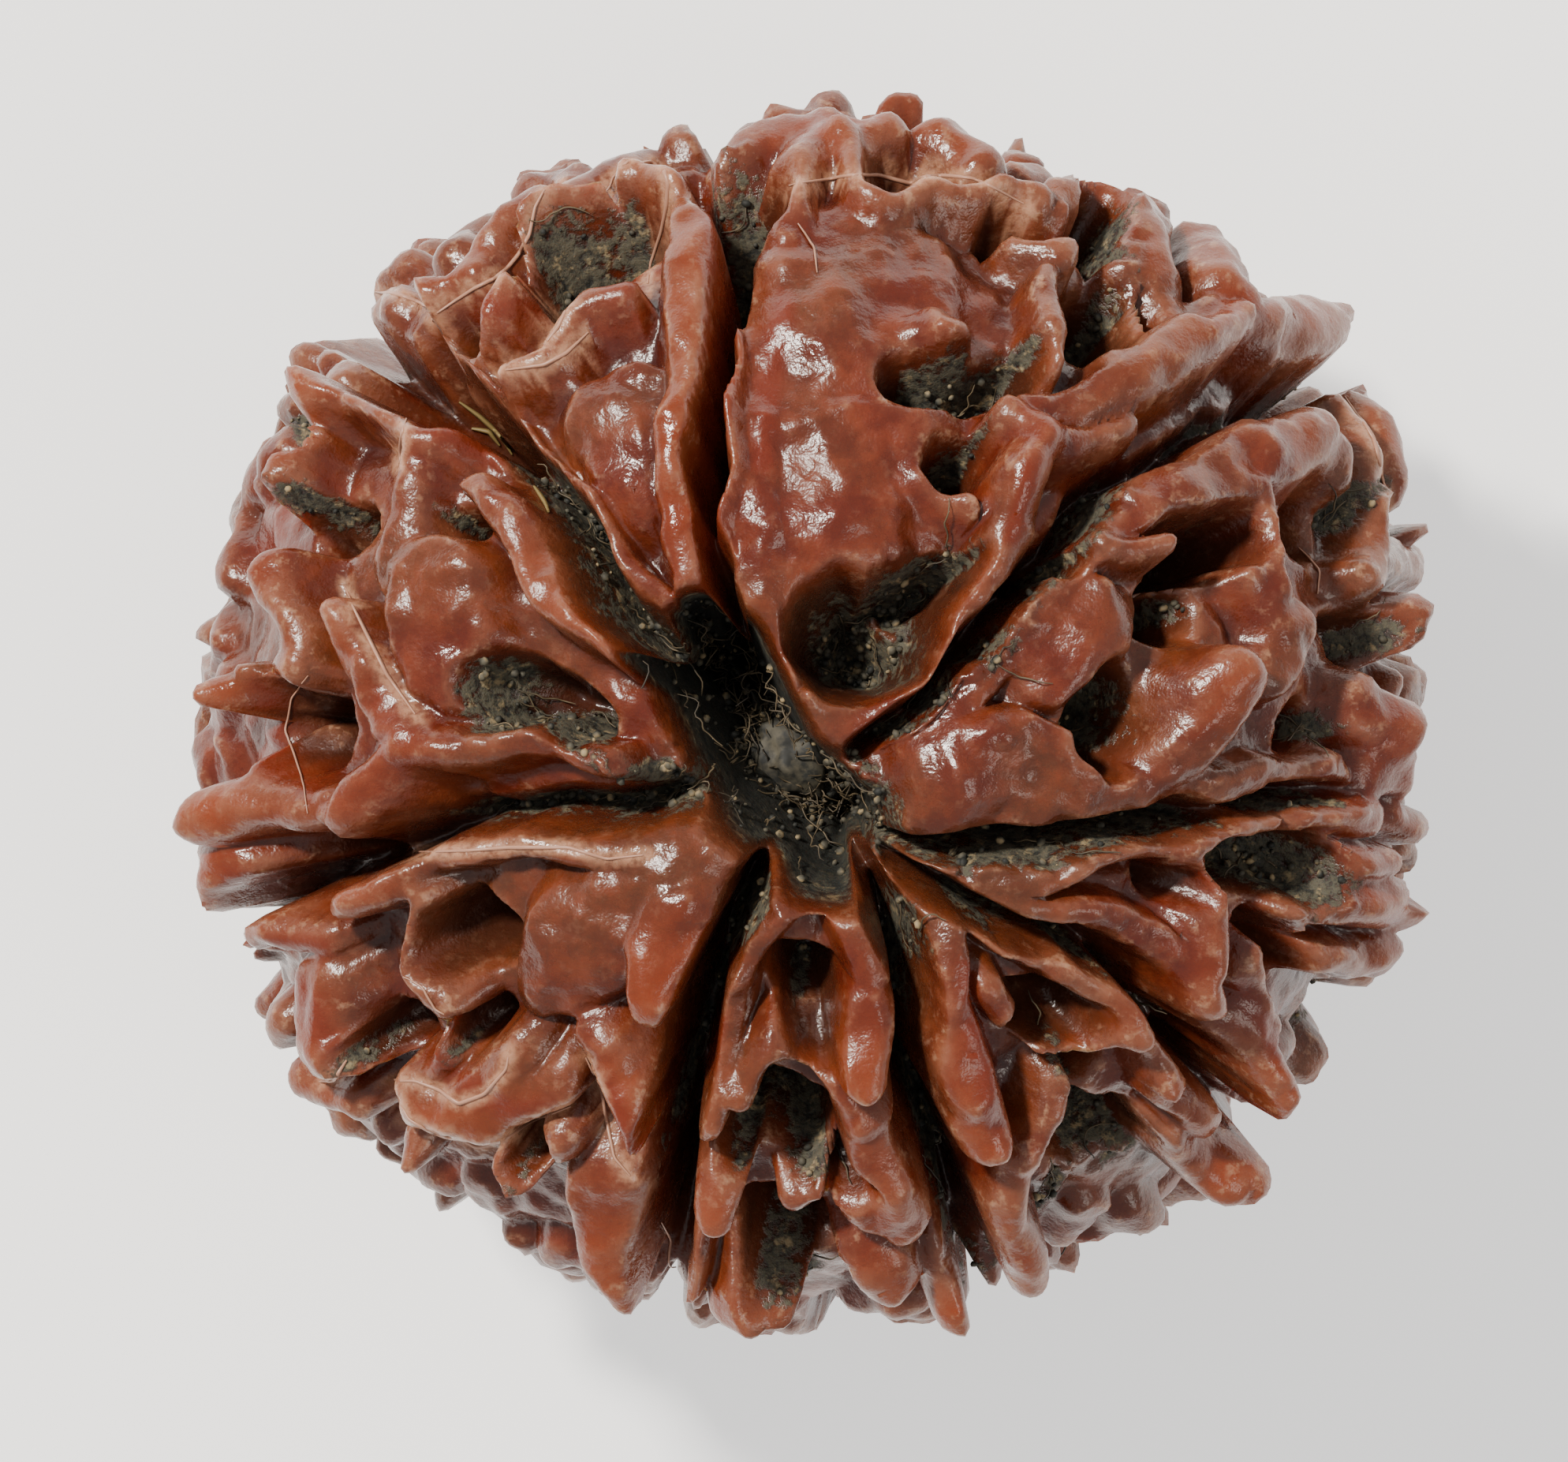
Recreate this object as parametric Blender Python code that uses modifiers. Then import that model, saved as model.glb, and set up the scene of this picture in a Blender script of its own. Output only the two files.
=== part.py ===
"""An eight-faced rudraksha bead: the ridged stone of the fruit, on its lower pole, with +Z up its string hole."""

import math
import random

import bmesh
import bpy
import numpy as np
from mathutils import Matrix, Vector, noise

MM = 0.001

# Driving dimensions of the bead, in millimetres
EQUATOR_RADIUS = 11.35
POLE_RADIUS = 9.3
FULLNESS = 2.25
HOLE_RADIUS = 0.5
HOLLOW_DEPTH = 4.2
HOLLOW_HALF_WIDTH = 0.95
HOLLOW_LINE = ((-1.35, 2.1), (-0.4, 0.2), (0.8, -0.9))
LOWER_HOLLOW_DEPTH = 2.2
SEAM_DEPTHS = (2.1, 1.2, 1.7, 1.5, 2.3, 2.2, 1.2, 1.7)
SHOULDER_DEPTH = 0.3
SHOULDER_HALF_WIDTH = 1.3
LEAN = 0.45
WAVE_HEIGHT = 0.22
WAVE_LENGTH = 1.8
WANDER = 0.3
WANDER_LENGTH = 1.5
SMALL_WANDER = 0.07
SMALL_WANDER_LENGTH = 0.6
MIDDLE_HEIGHT = 9.62

# The crown was drawn on a flat sheet held a little off the bead's axis, leaning back and to the right
SHEET_LEAN_BACK = math.radians(8.3)
SHEET_LEAN_RIGHT = math.radians(2.3)
SEAM_BANK = 0.5
PIT_BANK = 0.5
AIMING_STEPS = 6
CURVE_STEPS = 3

# How finely the blank is turned, and the number of triangles that the finished solid keeps
TURNED_STEPS = 288
OUTLINE_STEPS = 150
HOLE_STEPS = 12
FINISHED_TRIANGLES = 8000

# Places down from the upper pole: the edge of the string hole, and where the seams start in the hollow
RIM_POLAR = math.asin(HOLE_RADIUS / POLE_RADIUS)
HOLLOW_POLAR = math.radians(9.0)
SKIN_SLACK = 0.05

# Seams: the bare strip at the bottom as a share of the half width, the run-out at the hole, the swing on the side
SEAM_CLEAR = 0.25
SEAM_RUN_OUT = 2.2
SEAM_BEND = math.radians(7.0)
SIDE_SEAM_STEPS = 5

# The side and underside: rows of tubercles by degrees below the sheet's horizon, unevenly placed and grown
SIDE_ROWS = (8.0, 17.0, 27.0, 38.0, 49.0, 59.0, 69.0)
ROW_START = 16.0
FULL_ROW = 34.0
TUBERCLE_SPACING = 2.5
TUBERCLE_RISE = (0.8, 1.5)
TUBERCLE_HALF_WIDTH = (0.6, 0.95)
RESTING_RISE = 1.25
ROW_SLACK = math.radians(3.5)
PLACE_SLACK = 0.16
TAIL = math.radians(7.0)
TAIL_SHARE = 0.75
TIE_RISE = 0.9
TIE_HALF_WIDTH = 0.5
TIED_SHARE = 0.55
SIDE_PIT_DEPTH = (0.7, 1.4)
SIDE_PIT_HALF_WIDTH = 0.6
GAPING_SEAMS = {3: 1.0, 7: 1.8}
GAPE_HALF_WIDTH = 0.8
SIDE_CLEFTS = ((65, 0.9), (105, 0.7), (170, 0.7), (238, 1.1), (275, 0.8), (300, 1.1), (331, 1.2))
CLEFT_HALF_WIDTH = 0.95
CLEFT_TOP = math.radians(-5.0)
CLEFT_END = math.radians(24.0)
LIP_POLAR = math.radians(118.0)
LIP_OFFSET = 0.9
LIP_RISE = (0.5, 1.1)
LIP_HALF_WIDTH = 0.55
UNDERSIDE_SEED = 8
WANDER_SEED = 5

# How short the soft foot of a fold and of a pit is, and how sharply folds meet
FOLD_FOOT = 2.4
PIT_FOOT = 2.0
JOIN_SHARPNESS = 6.0

# The eight seams of the crown as drawn on the sheet, from the hollow outwards: x, y in millimetres
SEAMS = [
    [(-1.4, 1), (-1.6, 3.3), (-1.7, 5.7), (-1.4, 8), (-1.4, 9.5), (-2.3, 10.8)],
    [(1.4, -0.5), (2.5, 0.4), (3.7, 1.8), (5, 3.5), (5.9, 4.6), (7.5, 5.5), (9.2, 6.5), (11.1, 7.1)],
    [(1.7, -2.7), (2.8, -2.6), (4.4, -2.4), (5.9, -2.1), (7.5, -1.9), (9.6, -1.5), (12.3, -1.2)],
    [(2.2, -3.3), (4.2, -4.1), (5.9, -4.7), (7, -5.8), (7.9, -7.2), (9.1, -8.4)],
    [(1.4, -3.2), (2, -5.2), (2.1, -7.3), (2.7, -9.1), (3.3, -10.5), (3.8, -11.5)],
    [(-0.9, -3), (-1.5, -4.1), (-2, -5.5), (-2.4, -7.5), (-2.5, -9.1), (-2.6, -10.6), (-2.8, -11.5)],
    [(-2.6, -1.6), (-4.9, -1.9), (-7.1, -2), (-8.2, -2.6), (-9.4, -3), (-10.5, -3.9), (-11.3, -4.3)],
    [(-2.3, 0.7), (-3.4, 1.9), (-4.2, 3.3), (-5.1, 4.7), (-5.9, 5.5), (-6.6, 6.1), (-7.4, 6.4), (-8.2, 7.2), (-9, 7.6)],
]
SEAM_HALF_WIDTHS = (0.34, 0.36, 0.38, 0.42, 0.5, 0.52, 0.48, 0.52)

# Folds, knobs and tips of the crown on the same sheet, each a chain of points: x, y, rise, half width
RAISED = {
    # Face 1, between seams 1 and 2, broad and smooth
    "face_1_seam_shoulder": [
        (-0.5, 0.2, 0.5, 0.78), (-1.1, 1.8, 0.7, 0.91), (-1.2, 4.1, 0.8, 1.04), (-1.3, 6.1, 0.8, 1.04),
        (-0.9, 8, 0.7, 1.04), (-0.1, 9.2, 0.6, 0.91),
    ],
    "face_1_swell_middle": [(1, 8.9, 0.7, 2.86), (0.5, 5.5, 0.6, 2.47), (-0.1, 3.3, 0.5, 1.82)],
    "face_1_knob": [(2.5, 7.7, 1.2, 1.17), (1.6, 7.2, 0.6, 0.65)],
    "face_1_thin_fold": [(1.9, 4.8, 0.5, 0.39), (3.2, 4.3, 0.8, 0.39)],
    "face_1_bar_low": [(1.7, 2.1, 0.7, 0.52), (2.7, 1.8, 1, 0.72), (3.4, 2.4, 1, 0.65)],
    "face_1_edge": [
        (4.7, 5.5, 1.1, 0.65), (4.2, 4.1, 1.1, 0.72), (3.6, 2.7, 1.1, 0.65), (3.2, 1.3, 1, 0.65),
        (2.5, 0.4, 0.9, 0.65), (1.4, -0.2, 0.6, 0.65), (0.3, 0.1, 0.5, 0.59),
    ],
    "face_1_edge_branch": [(4.2, 4.3, 1.1, 0.52), (4.8, 5.3, 1.2, 0.52), (4.1, 6.1, 1.1, 0.45)],
    "face_1_brow": [(-0.3, 9.5, 0.9, 0.65), (-0.3, 10.8, 1.3, 0.78), (0.4, 11.8, 1.4, 0.78)],
    "face_1_brow_wave": [
        (0.5, 11.5, 1.5, 0.45), (1, 10.5, 1.3, 0.39), (1.7, 10.2, 1.2, 0.39), (2.7, 10.5, 1.3, 0.39),
        (3.3, 10.3, 1.2, 0.39), (4.2, 10.4, 1.3, 0.45), (5, 10, 1.1, 0.39),
    ],
    "face_1_crest_left": [(0.7, 11.3, 1.3, 0.78), (1.4, 11.8, 1.6, 0.91)],
    "face_1_crest_tip": [(1.9, 12.3, 1.5, 0.78)],
    "face_1_crest_right": [(2.8, 11.7, 1.6, 1.04), (3.4, 11.1, 1.4, 0.78)],
    "face_1_back_bump": [(4.4, 10.8, 0.9, 0.78)],
    "face_1_far_left": [(-2.1, 10.7, 1, 0.65), (-1.1, 11.5, 1.3, 0.91), (-0.5, 11.7, 1.3, 0.65)],
    "face_1_bar_tall": [(4.8, 8.8, 1.1, 0.45), (4.9, 7.1, 1.1, 0.52)],
    "face_1_bar_upper": [(4.2, 9.5, 1, 0.45), (5.1, 9.2, 1.2, 0.52)],
    "face_1_right_cap": [
        (5.1, 10.5, 1.3, 0.78), (6.5, 10.4, 1.5, 1.04), (7, 9.2, 1.3, 0.78), (7.2, 8.3, 1, 0.52),
    ],
    "face_1_right_cap_in": [(6.4, 8.9, 1, 0.52), (6.5, 7.7, 0.9, 0.52)],
    "face_1_far_right": [(8, 9.6, 1.5, 0.91), (8.4, 8.6, 1.5, 0.78)],
    "face_1_blade_right": [(6.4, 6.9, 1.1, 0.65), (7.5, 7.5, 1.3, 0.59), (8.6, 7.9, 1.5, 0.52)],
    "face_1_blade_low": [
        (4.5, 6.1, 1, 0.52), (5.6, 6.3, 1, 0.59), (6.5, 6.7, 1.2, 0.65), (7.8, 7.4, 1.3, 0.65),
        (8.4, 7.6, 1.4, 0.52),
    ],
    "face_1_edge_out": [(4.8, 5.3, 1.1, 0.45), (6.5, 5.7, 0.9, 0.52)],
    # Face 2, between seams 2 and 3
    "face_2_edge": [
        (2.4, -0.7, 0.5, 0.65), (4.2, 1.6, 0.7, 0.59), (5.8, 3.5, 0.9, 0.65), (7.3, 4.7, 0.9, 0.59),
        (8.9, 5.5, 1, 0.65),
    ],
    "face_2_bar_out": [(7.5, 7.9, 1, 0.52), (9, 8, 1.4, 0.78), (10.9, 8, 2.2, 0.78)],
    "face_2_bar_tip": [(9.3, 7.5, 1.2, 0.65), (11, 7.4, 1.9, 0.65)],
    "face_2_cap": [(9.3, 5.2, 1.1, 0.78), (10.3, 5.7, 1.3, 1.17), (10.6, 5, 1.1, 0.78)],
    "face_2_rim": [
        (10.4, 6.6, 1.2, 0.45), (11.1, 5.5, 1.3, 0.52), (11.5, 4.1, 1.3, 0.52), (11.3, 2.9, 1.2, 0.52),
    ],
    "face_2_shelf": [
        (7.5, 4.4, 0.9, 0.78), (8.9, 4.6, 0.9, 0.65), (9.2, 3.5, 0.9, 0.45), (9.3, 2.7, 0.9, 0.45),
    ],
    "face_2_blade_in": [(5.9, 3.3, 0.9, 0.39), (7, 3.3, 1.1, 0.39)],
    "face_2_swell": [(5.8, 1.9, 0.8, 1.3), (4.7, 0.9, 0.7, 0.78)],
    "face_2_swell_low": [(3.3, -1.2, 0.8, 1.43), (4.4, -0.5, 0.8, 0.91), (5.6, -1.2, 0.7, 0.91)],
    "face_2_horn": [(7.3, -0.9, 0.9, 0.78), (8.2, 0.1, 1.3, 0.78), (8.6, 0.9, 1.6, 0.78)],
    "face_2_edge_low": [
        (2.5, -2, 0.6, 0.78), (4.4, -1.7, 0.7, 0.78), (6.7, -1.5, 0.8, 0.78), (9, -1.2, 0.8, 0.65),
        (10.6, -1.1, 0.9, 0.65),
    ],
    "face_2_bridge": [(9, 2.7, 0.9, 0.65), (9.6, 1.8, 0.9, 0.78), (9.2, 0.9, 0.8, 0.65)],
    "face_2_tip_1": [(11.8, 4.1, 1.2, 0.65), (12.3, 4.2, 1.6, 0.59)],
    "face_2_tip_2": [(11.5, 3.2, 1.1, 0.78), (12, 3.1, 1.2, 0.78)],
    "face_2_tip_3": [(11.6, 1.9, 1.2, 0.78), (12.3, 2, 1.6, 0.72)],
    "face_2_tip_4": [(11.2, 0.2, 1, 0.91), (12, -0.2, 1.5, 1.04)],
    "face_2_tip_5": [(11.3, -1.1, 1.1, 0.78), (12.1, -1.1, 1.5, 0.72)],
    "face_2_side": [(11, 6.7, 1.7, 0.78), (11.6, 5.5, 1.8, 0.78), (11.8, 4.6, 1.6, 0.65)],
    # Face 3, between seams 3 and 4, narrow
    "face_3_edge": [
        (2.7, -3, 0.5, 0.52), (4.8, -3, 0.9, 0.52), (6.7, -2.5, 1, 0.52), (8.6, -2.1, 1, 0.52),
        (9.6, -2, 1, 0.45),
    ],
    "face_3_edge_low": [
        (3.3, -3.4, 0.5, 0.45), (5, -3.9, 0.9, 0.59), (6.4, -4.3, 0.9, 0.52), (7.3, -4.8, 0.9, 0.45),
    ],
    "face_3_fork": [
        (7.5, -2.5, 0.9, 0.45), (7.9, -3.6, 1, 0.52), (7.9, -4.6, 1.2, 0.59), (8.2, -5.6, 1.6, 0.52),
    ],
    "face_3_bar_1": [(10.3, -1.9, 1.2, 0.65), (12.3, -2, 1.5, 0.65)],
    "face_3_bar_2": [(10.3, -2.8, 1.2, 0.52), (11.5, -2.9, 1.4, 0.52)],
    "face_3_bar_3": [(10.1, -3.6, 1.2, 0.59), (12.1, -3.8, 1.8, 0.78)],
    "face_3_bar_4": [(10.1, -4.8, 1.1, 0.59), (11.5, -4.8, 1.6, 0.72)],
    "face_3_rim": [(9.6, -4.3, 1, 0.45), (9.9, -3.5, 1.1, 0.39), (10.4, -2.8, 1.1, 0.45)],
    "face_3_fang": [(8.4, -6, 1.1, 0.78), (9, -6.7, 1.5, 0.78), (9.6, -7.7, 2.2, 0.78)],
    "face_3_fang_back": [(8.7, -4.9, 1, 0.65), (9.3, -6, 1.2, 0.52)],
    # Face 4, between seams 4 and 5
    "face_4_blade": [
        (2.7, -3.9, 0.7, 0.59), (2.8, -5.2, 1.1, 0.65), (3.2, -7, 1.4, 0.72), (3.7, -8.5, 1.8, 0.65),
    ],
    "face_4_edge": [
        (3, -3.9, 0.7, 0.45), (4.2, -4.4, 0.9, 0.52), (5.5, -5.1, 1, 0.52), (6.6, -6.2, 1.4, 0.52),
    ],
    "face_4_step_1": [(5.9, -5.2, 1, 0.45), (6.8, -6, 1.1, 0.45), (7.5, -7.3, 1.6, 0.52)],
    "face_4_step_2": [(7.2, -7.4, 1.2, 0.45), (8.1, -8.1, 1.6, 0.52)],
    "face_4_fang": [(7.3, -8.3, 1.2, 0.65), (8.2, -8.9, 1.6, 0.78), (9, -9.4, 2.4, 0.78)],
    "face_4_rib": [(3.7, -5.3, 0.9, 0.52), (4.7, -6.4, 0.9, 0.52), (6.2, -6.1, 1, 0.45)],
    "face_4_rib_low": [(4.2, -8.8, 1.3, 0.59), (4.1, -10.3, 1.5, 0.65), (4.6, -11.2, 1.8, 0.65)],
    "face_4_rib_mid": [(5, -7.4, 1, 0.52), (4.5, -8.6, 1.2, 0.52)],
    # Face 5, between seams 5 and 6
    "face_5_crown": [
        (-0.1, -3.6, 0.8, 0.65), (0.7, -3.4, 0.9, 0.78), (1.3, -3.9, 1, 0.78), (1.3, -5, 1, 0.65),
    ],
    "face_5_left": [
        (-0.3, -3.8, 0.8, 0.65), (-1.3, -4.9, 0.9, 0.65), (-1.9, -6.6, 1.1, 0.72), (-2, -8.1, 1.4, 0.65),
    ],
    "face_5_drop": [(1.2, -6, 1.2, 0.78), (1.3, -7.2, 1.8, 0.65)],
    "face_5_arch": [
        (-1.3, -7.5, 1.2, 0.52), (-0.9, -6.7, 1.1, 0.52), (-0.1, -6.5, 1, 0.52), (0.6, -7, 1.1, 0.52),
        (1.1, -7.8, 1.2, 0.59),
    ],
    "face_5_right": [(1.4, -8, 1.3, 0.65), (1.7, -9.1, 1.4, 0.78), (2, -10, 1.5, 0.65)],
    "face_5_left_fang": [(-1.4, -8.8, 1.2, 0.65), (-1.8, -10.1, 2, 0.59)],
    "face_5_low_arch": [
        (-0.1, -9.4, 1.1, 0.45), (0.7, -9.2, 1.2, 0.45), (1.3, -10, 1.3, 0.45), (2, -10.3, 1.4, 0.52),
    ],
    "face_5_low_fang": [(-0.4, -11.2, 1.4, 0.91), (-1.1, -11.8, 1.8, 1.04)],
    "face_5_low_stub": [(1.1, -10.6, 1.3, 0.65), (1.7, -11.2, 1.6, 0.91)],
    "face_5_low_tip": [(2.7, -10.6, 1.2, 0.52), (2.9, -11.2, 1.5, 0.65), (3.2, -12.3, 2.3, 0.72)],
    # Face 6, between seams 6 and 7, broad
    "face_6_edge": [
        (-1.5, -2.6, 0.8, 0.59), (-3.4, -2.6, 0.9, 0.52), (-5.2, -2.6, 0.9, 0.52),
        (-6.9, -2.6, 0.9, 0.52), (-8.2, -3, 1, 0.52),
    ],
    "face_6_left_fang": [(-8, -3.2, 1.1, 0.65), (-9.3, -3.7, 1.7, 0.59)],
    "face_6_swell": [(-2.3, -3.5, 0.9, 1.17), (-4.3, -4.3, 0.9, 1.56), (-4.9, -5.2, 0.8, 1.3)],
    "face_6_drop": [(-2.4, -4.1, 1.2, 1.04), (-2.8, -5.5, 1.8, 1.04)],
    "face_6_fang": [(-4.2, -6.4, 1.1, 0.65), (-3.7, -7.2, 1.5, 0.78), (-3.2, -8.8, 2.2, 0.59)],
    "face_6_lip": [
        (-7.8, -7.2, 1.3, 0.52), (-7.3, -7.7, 1.4, 0.59), (-6.6, -7.5, 1.3, 0.59), (-5.9, -7, 1.3, 0.59),
        (-5.5, -6.4, 1.1, 0.52),
    ],
    "face_6_lip_low": [(-7.6, -7.8, 1.4, 0.65), (-6.5, -8.1, 1.5, 0.65), (-4.9, -7.2, 1.2, 0.65)],
    "face_6_rib": [(-7.7, -3.5, 1, 0.52), (-7.4, -5, 1, 0.52), (-6.8, -6, 1, 0.52), (-7.3, -7, 1, 0.52)],
    "face_6_side_1": [(-9.6, -4.4, 1.2, 0.65), (-10.9, -4.4, 1.6, 0.65)],
    "face_6_side_2": [(-9.6, -5.5, 1.3, 1.04), (-9.7, -6.4, 1.6, 0.91), (-9.1, -6.9, 1.8, 0.52)],
    "face_6_side_3": [(-10.5, -6.1, 1.2, 0.78)],
    "face_6_side_4": [(-9, -7.5, 1.3, 0.65), (-10, -7.3, 1.6, 0.65)],
    "face_6_side_5": [(-7.6, -8.3, 1.2, 0.45), (-7.6, -8.7, 1.5, 0.39)],
    "face_6_side_6": [(-4.6, -8.3, 1.2, 0.65), (-5.7, -8.9, 1.6, 0.72)],
    "face_6_cone": [(-3.8, -9.5, 1.3, 1.3), (-3.7, -10.6, 1.6, 1.17), (-3.6, -11.5, 2, 0.91)],
    "face_6_low_tip": [(-2.4, -10.5, 1.2, 0.52), (-2.4, -11.5, 1.8, 0.52)],
    # Face 7, between seams 7 and 8, broad
    "face_7_finger": [
        (-6.4, 4.6, 1, 0.45), (-5.7, 3.6, 1.2, 0.55), (-4.6, 2.3, 1.4, 0.59), (-3.4, 1.2, 2, 0.57),
        (-2.6, 0.5, 2.7, 0.55), (-2.1, 0.1, 3.2, 0.44),
    ],
    "face_7_edge": [
        (-9.2, -2.1, 1.3, 0.65), (-8, -0.9, 1.2, 0.65), (-6.2, -0.5, 1, 0.52), (-3.8, -0.8, 1.1, 0.45),
    ],
    "face_7_horn": [
        (-9.3, 2.2, 1.6, 0.52), (-9, 1.3, 1.3, 0.65), (-8.3, 0.1, 1.1, 0.65), (-7.1, -0.7, 1, 0.65),
    ],
    "face_7_swell": [(-7.4, 2.7, 1.1, 1.3), (-7.1, 1.3, 0.9, 1.56)],
    "face_7_neck": [(-7.6, 5.5, 1, 0.52), (-7.7, 4.3, 0.9, 0.65), (-8, 3, 0.9, 0.78)],
    "face_7_top": [(-10, 6.9, 2, 0.91), (-9.1, 6.6, 1.4, 0.78), (-7.4, 5.7, 1.1, 0.65)],
    "face_7_top_side": [(-10.2, 5.5, 1.5, 0.78), (-10.4, 4.3, 1.5, 0.65)],
    "face_7_side": [
        (-10.5, 3, 1.4, 0.65), (-10, 1.8, 1.2, 0.45), (-10.3, 0.9, 1.3, 0.45), (-11.1, 0.4, 1.4, 0.45),
    ],
    "face_7_tip": [(-11.1, 0.7, 1.3, 0.65), (-11.9, 0.5, 2, 0.59)],
    "face_7_rim": [(-10.7, -0.7, 1.2, 0.65), (-10.7, -1.8, 1.2, 0.65)],
    "face_7_knuckle": [(-9.6, -1.8, 1.2, 0.59), (-10.8, -1.9, 1.5, 0.65), (-12.1, -2, 2.2, 0.78)],
    "face_7_knuckle_low": [(-11.6, -3, 1.6, 1.04), (-11.7, -4.1, 1.9, 0.91)],
    # Face 8, between seams 8 and 1, narrow
    "face_8_fold": [
        (-2.1, 10.3, 1.3, 0.78), (-2.1, 8.8, 1.5, 0.98), (-2.1, 6.4, 1.6, 1.04), (-2.2, 4.1, 1.5, 0.98),
        (-2, 1.9, 1.1, 0.72),
    ],
    "face_8_edge": [
        (-8.3, 8.2, 2, 0.65), (-7.3, 6.9, 1.4, 0.65), (-6, 5.7, 1.2, 0.52), (-4.5, 4.4, 1, 0.45),
        (-3.5, 3.1, 0.9, 0.45), (-2.6, 1.8, 0.7, 0.45),
    ],
    "face_8_rim": [
        (-7.4, 7.7, 1.4, 0.45), (-6.2, 8.2, 1.4, 0.45), (-5.5, 9.2, 1.4, 0.45), (-5.1, 10.2, 1.5, 0.45),
        (-4.2, 10.5, 1.5, 0.45),
    ],
    "face_8_rim_fold": [(-3.4, 10.3, 1.3, 0.39), (-3.4, 10.8, 1.4, 0.45), (-2.6, 10.7, 1.5, 0.45)],
    "face_8_tongue": [
        (-3.4, 8.4, 1.1, 0.45), (-4.3, 8, 1.1, 0.45), (-4.9, 7.2, 1.1, 0.45), (-5.9, 6.7, 1.1, 0.45),
    ],
    "face_8_swell": [(-3.7, 6.1, 0.9, 1.43), (-3.4, 4.6, 0.8, 0.91)],
    "face_8_back": [(-6.5, 9, 1.2, 0.65), (-5.2, 10.3, 1.2, 0.52)],
    "face_8_back_tip": [(-8, 8.6, 1.8, 0.52), (-6.6, 8.9, 1.3, 0.52)],
}

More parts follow.
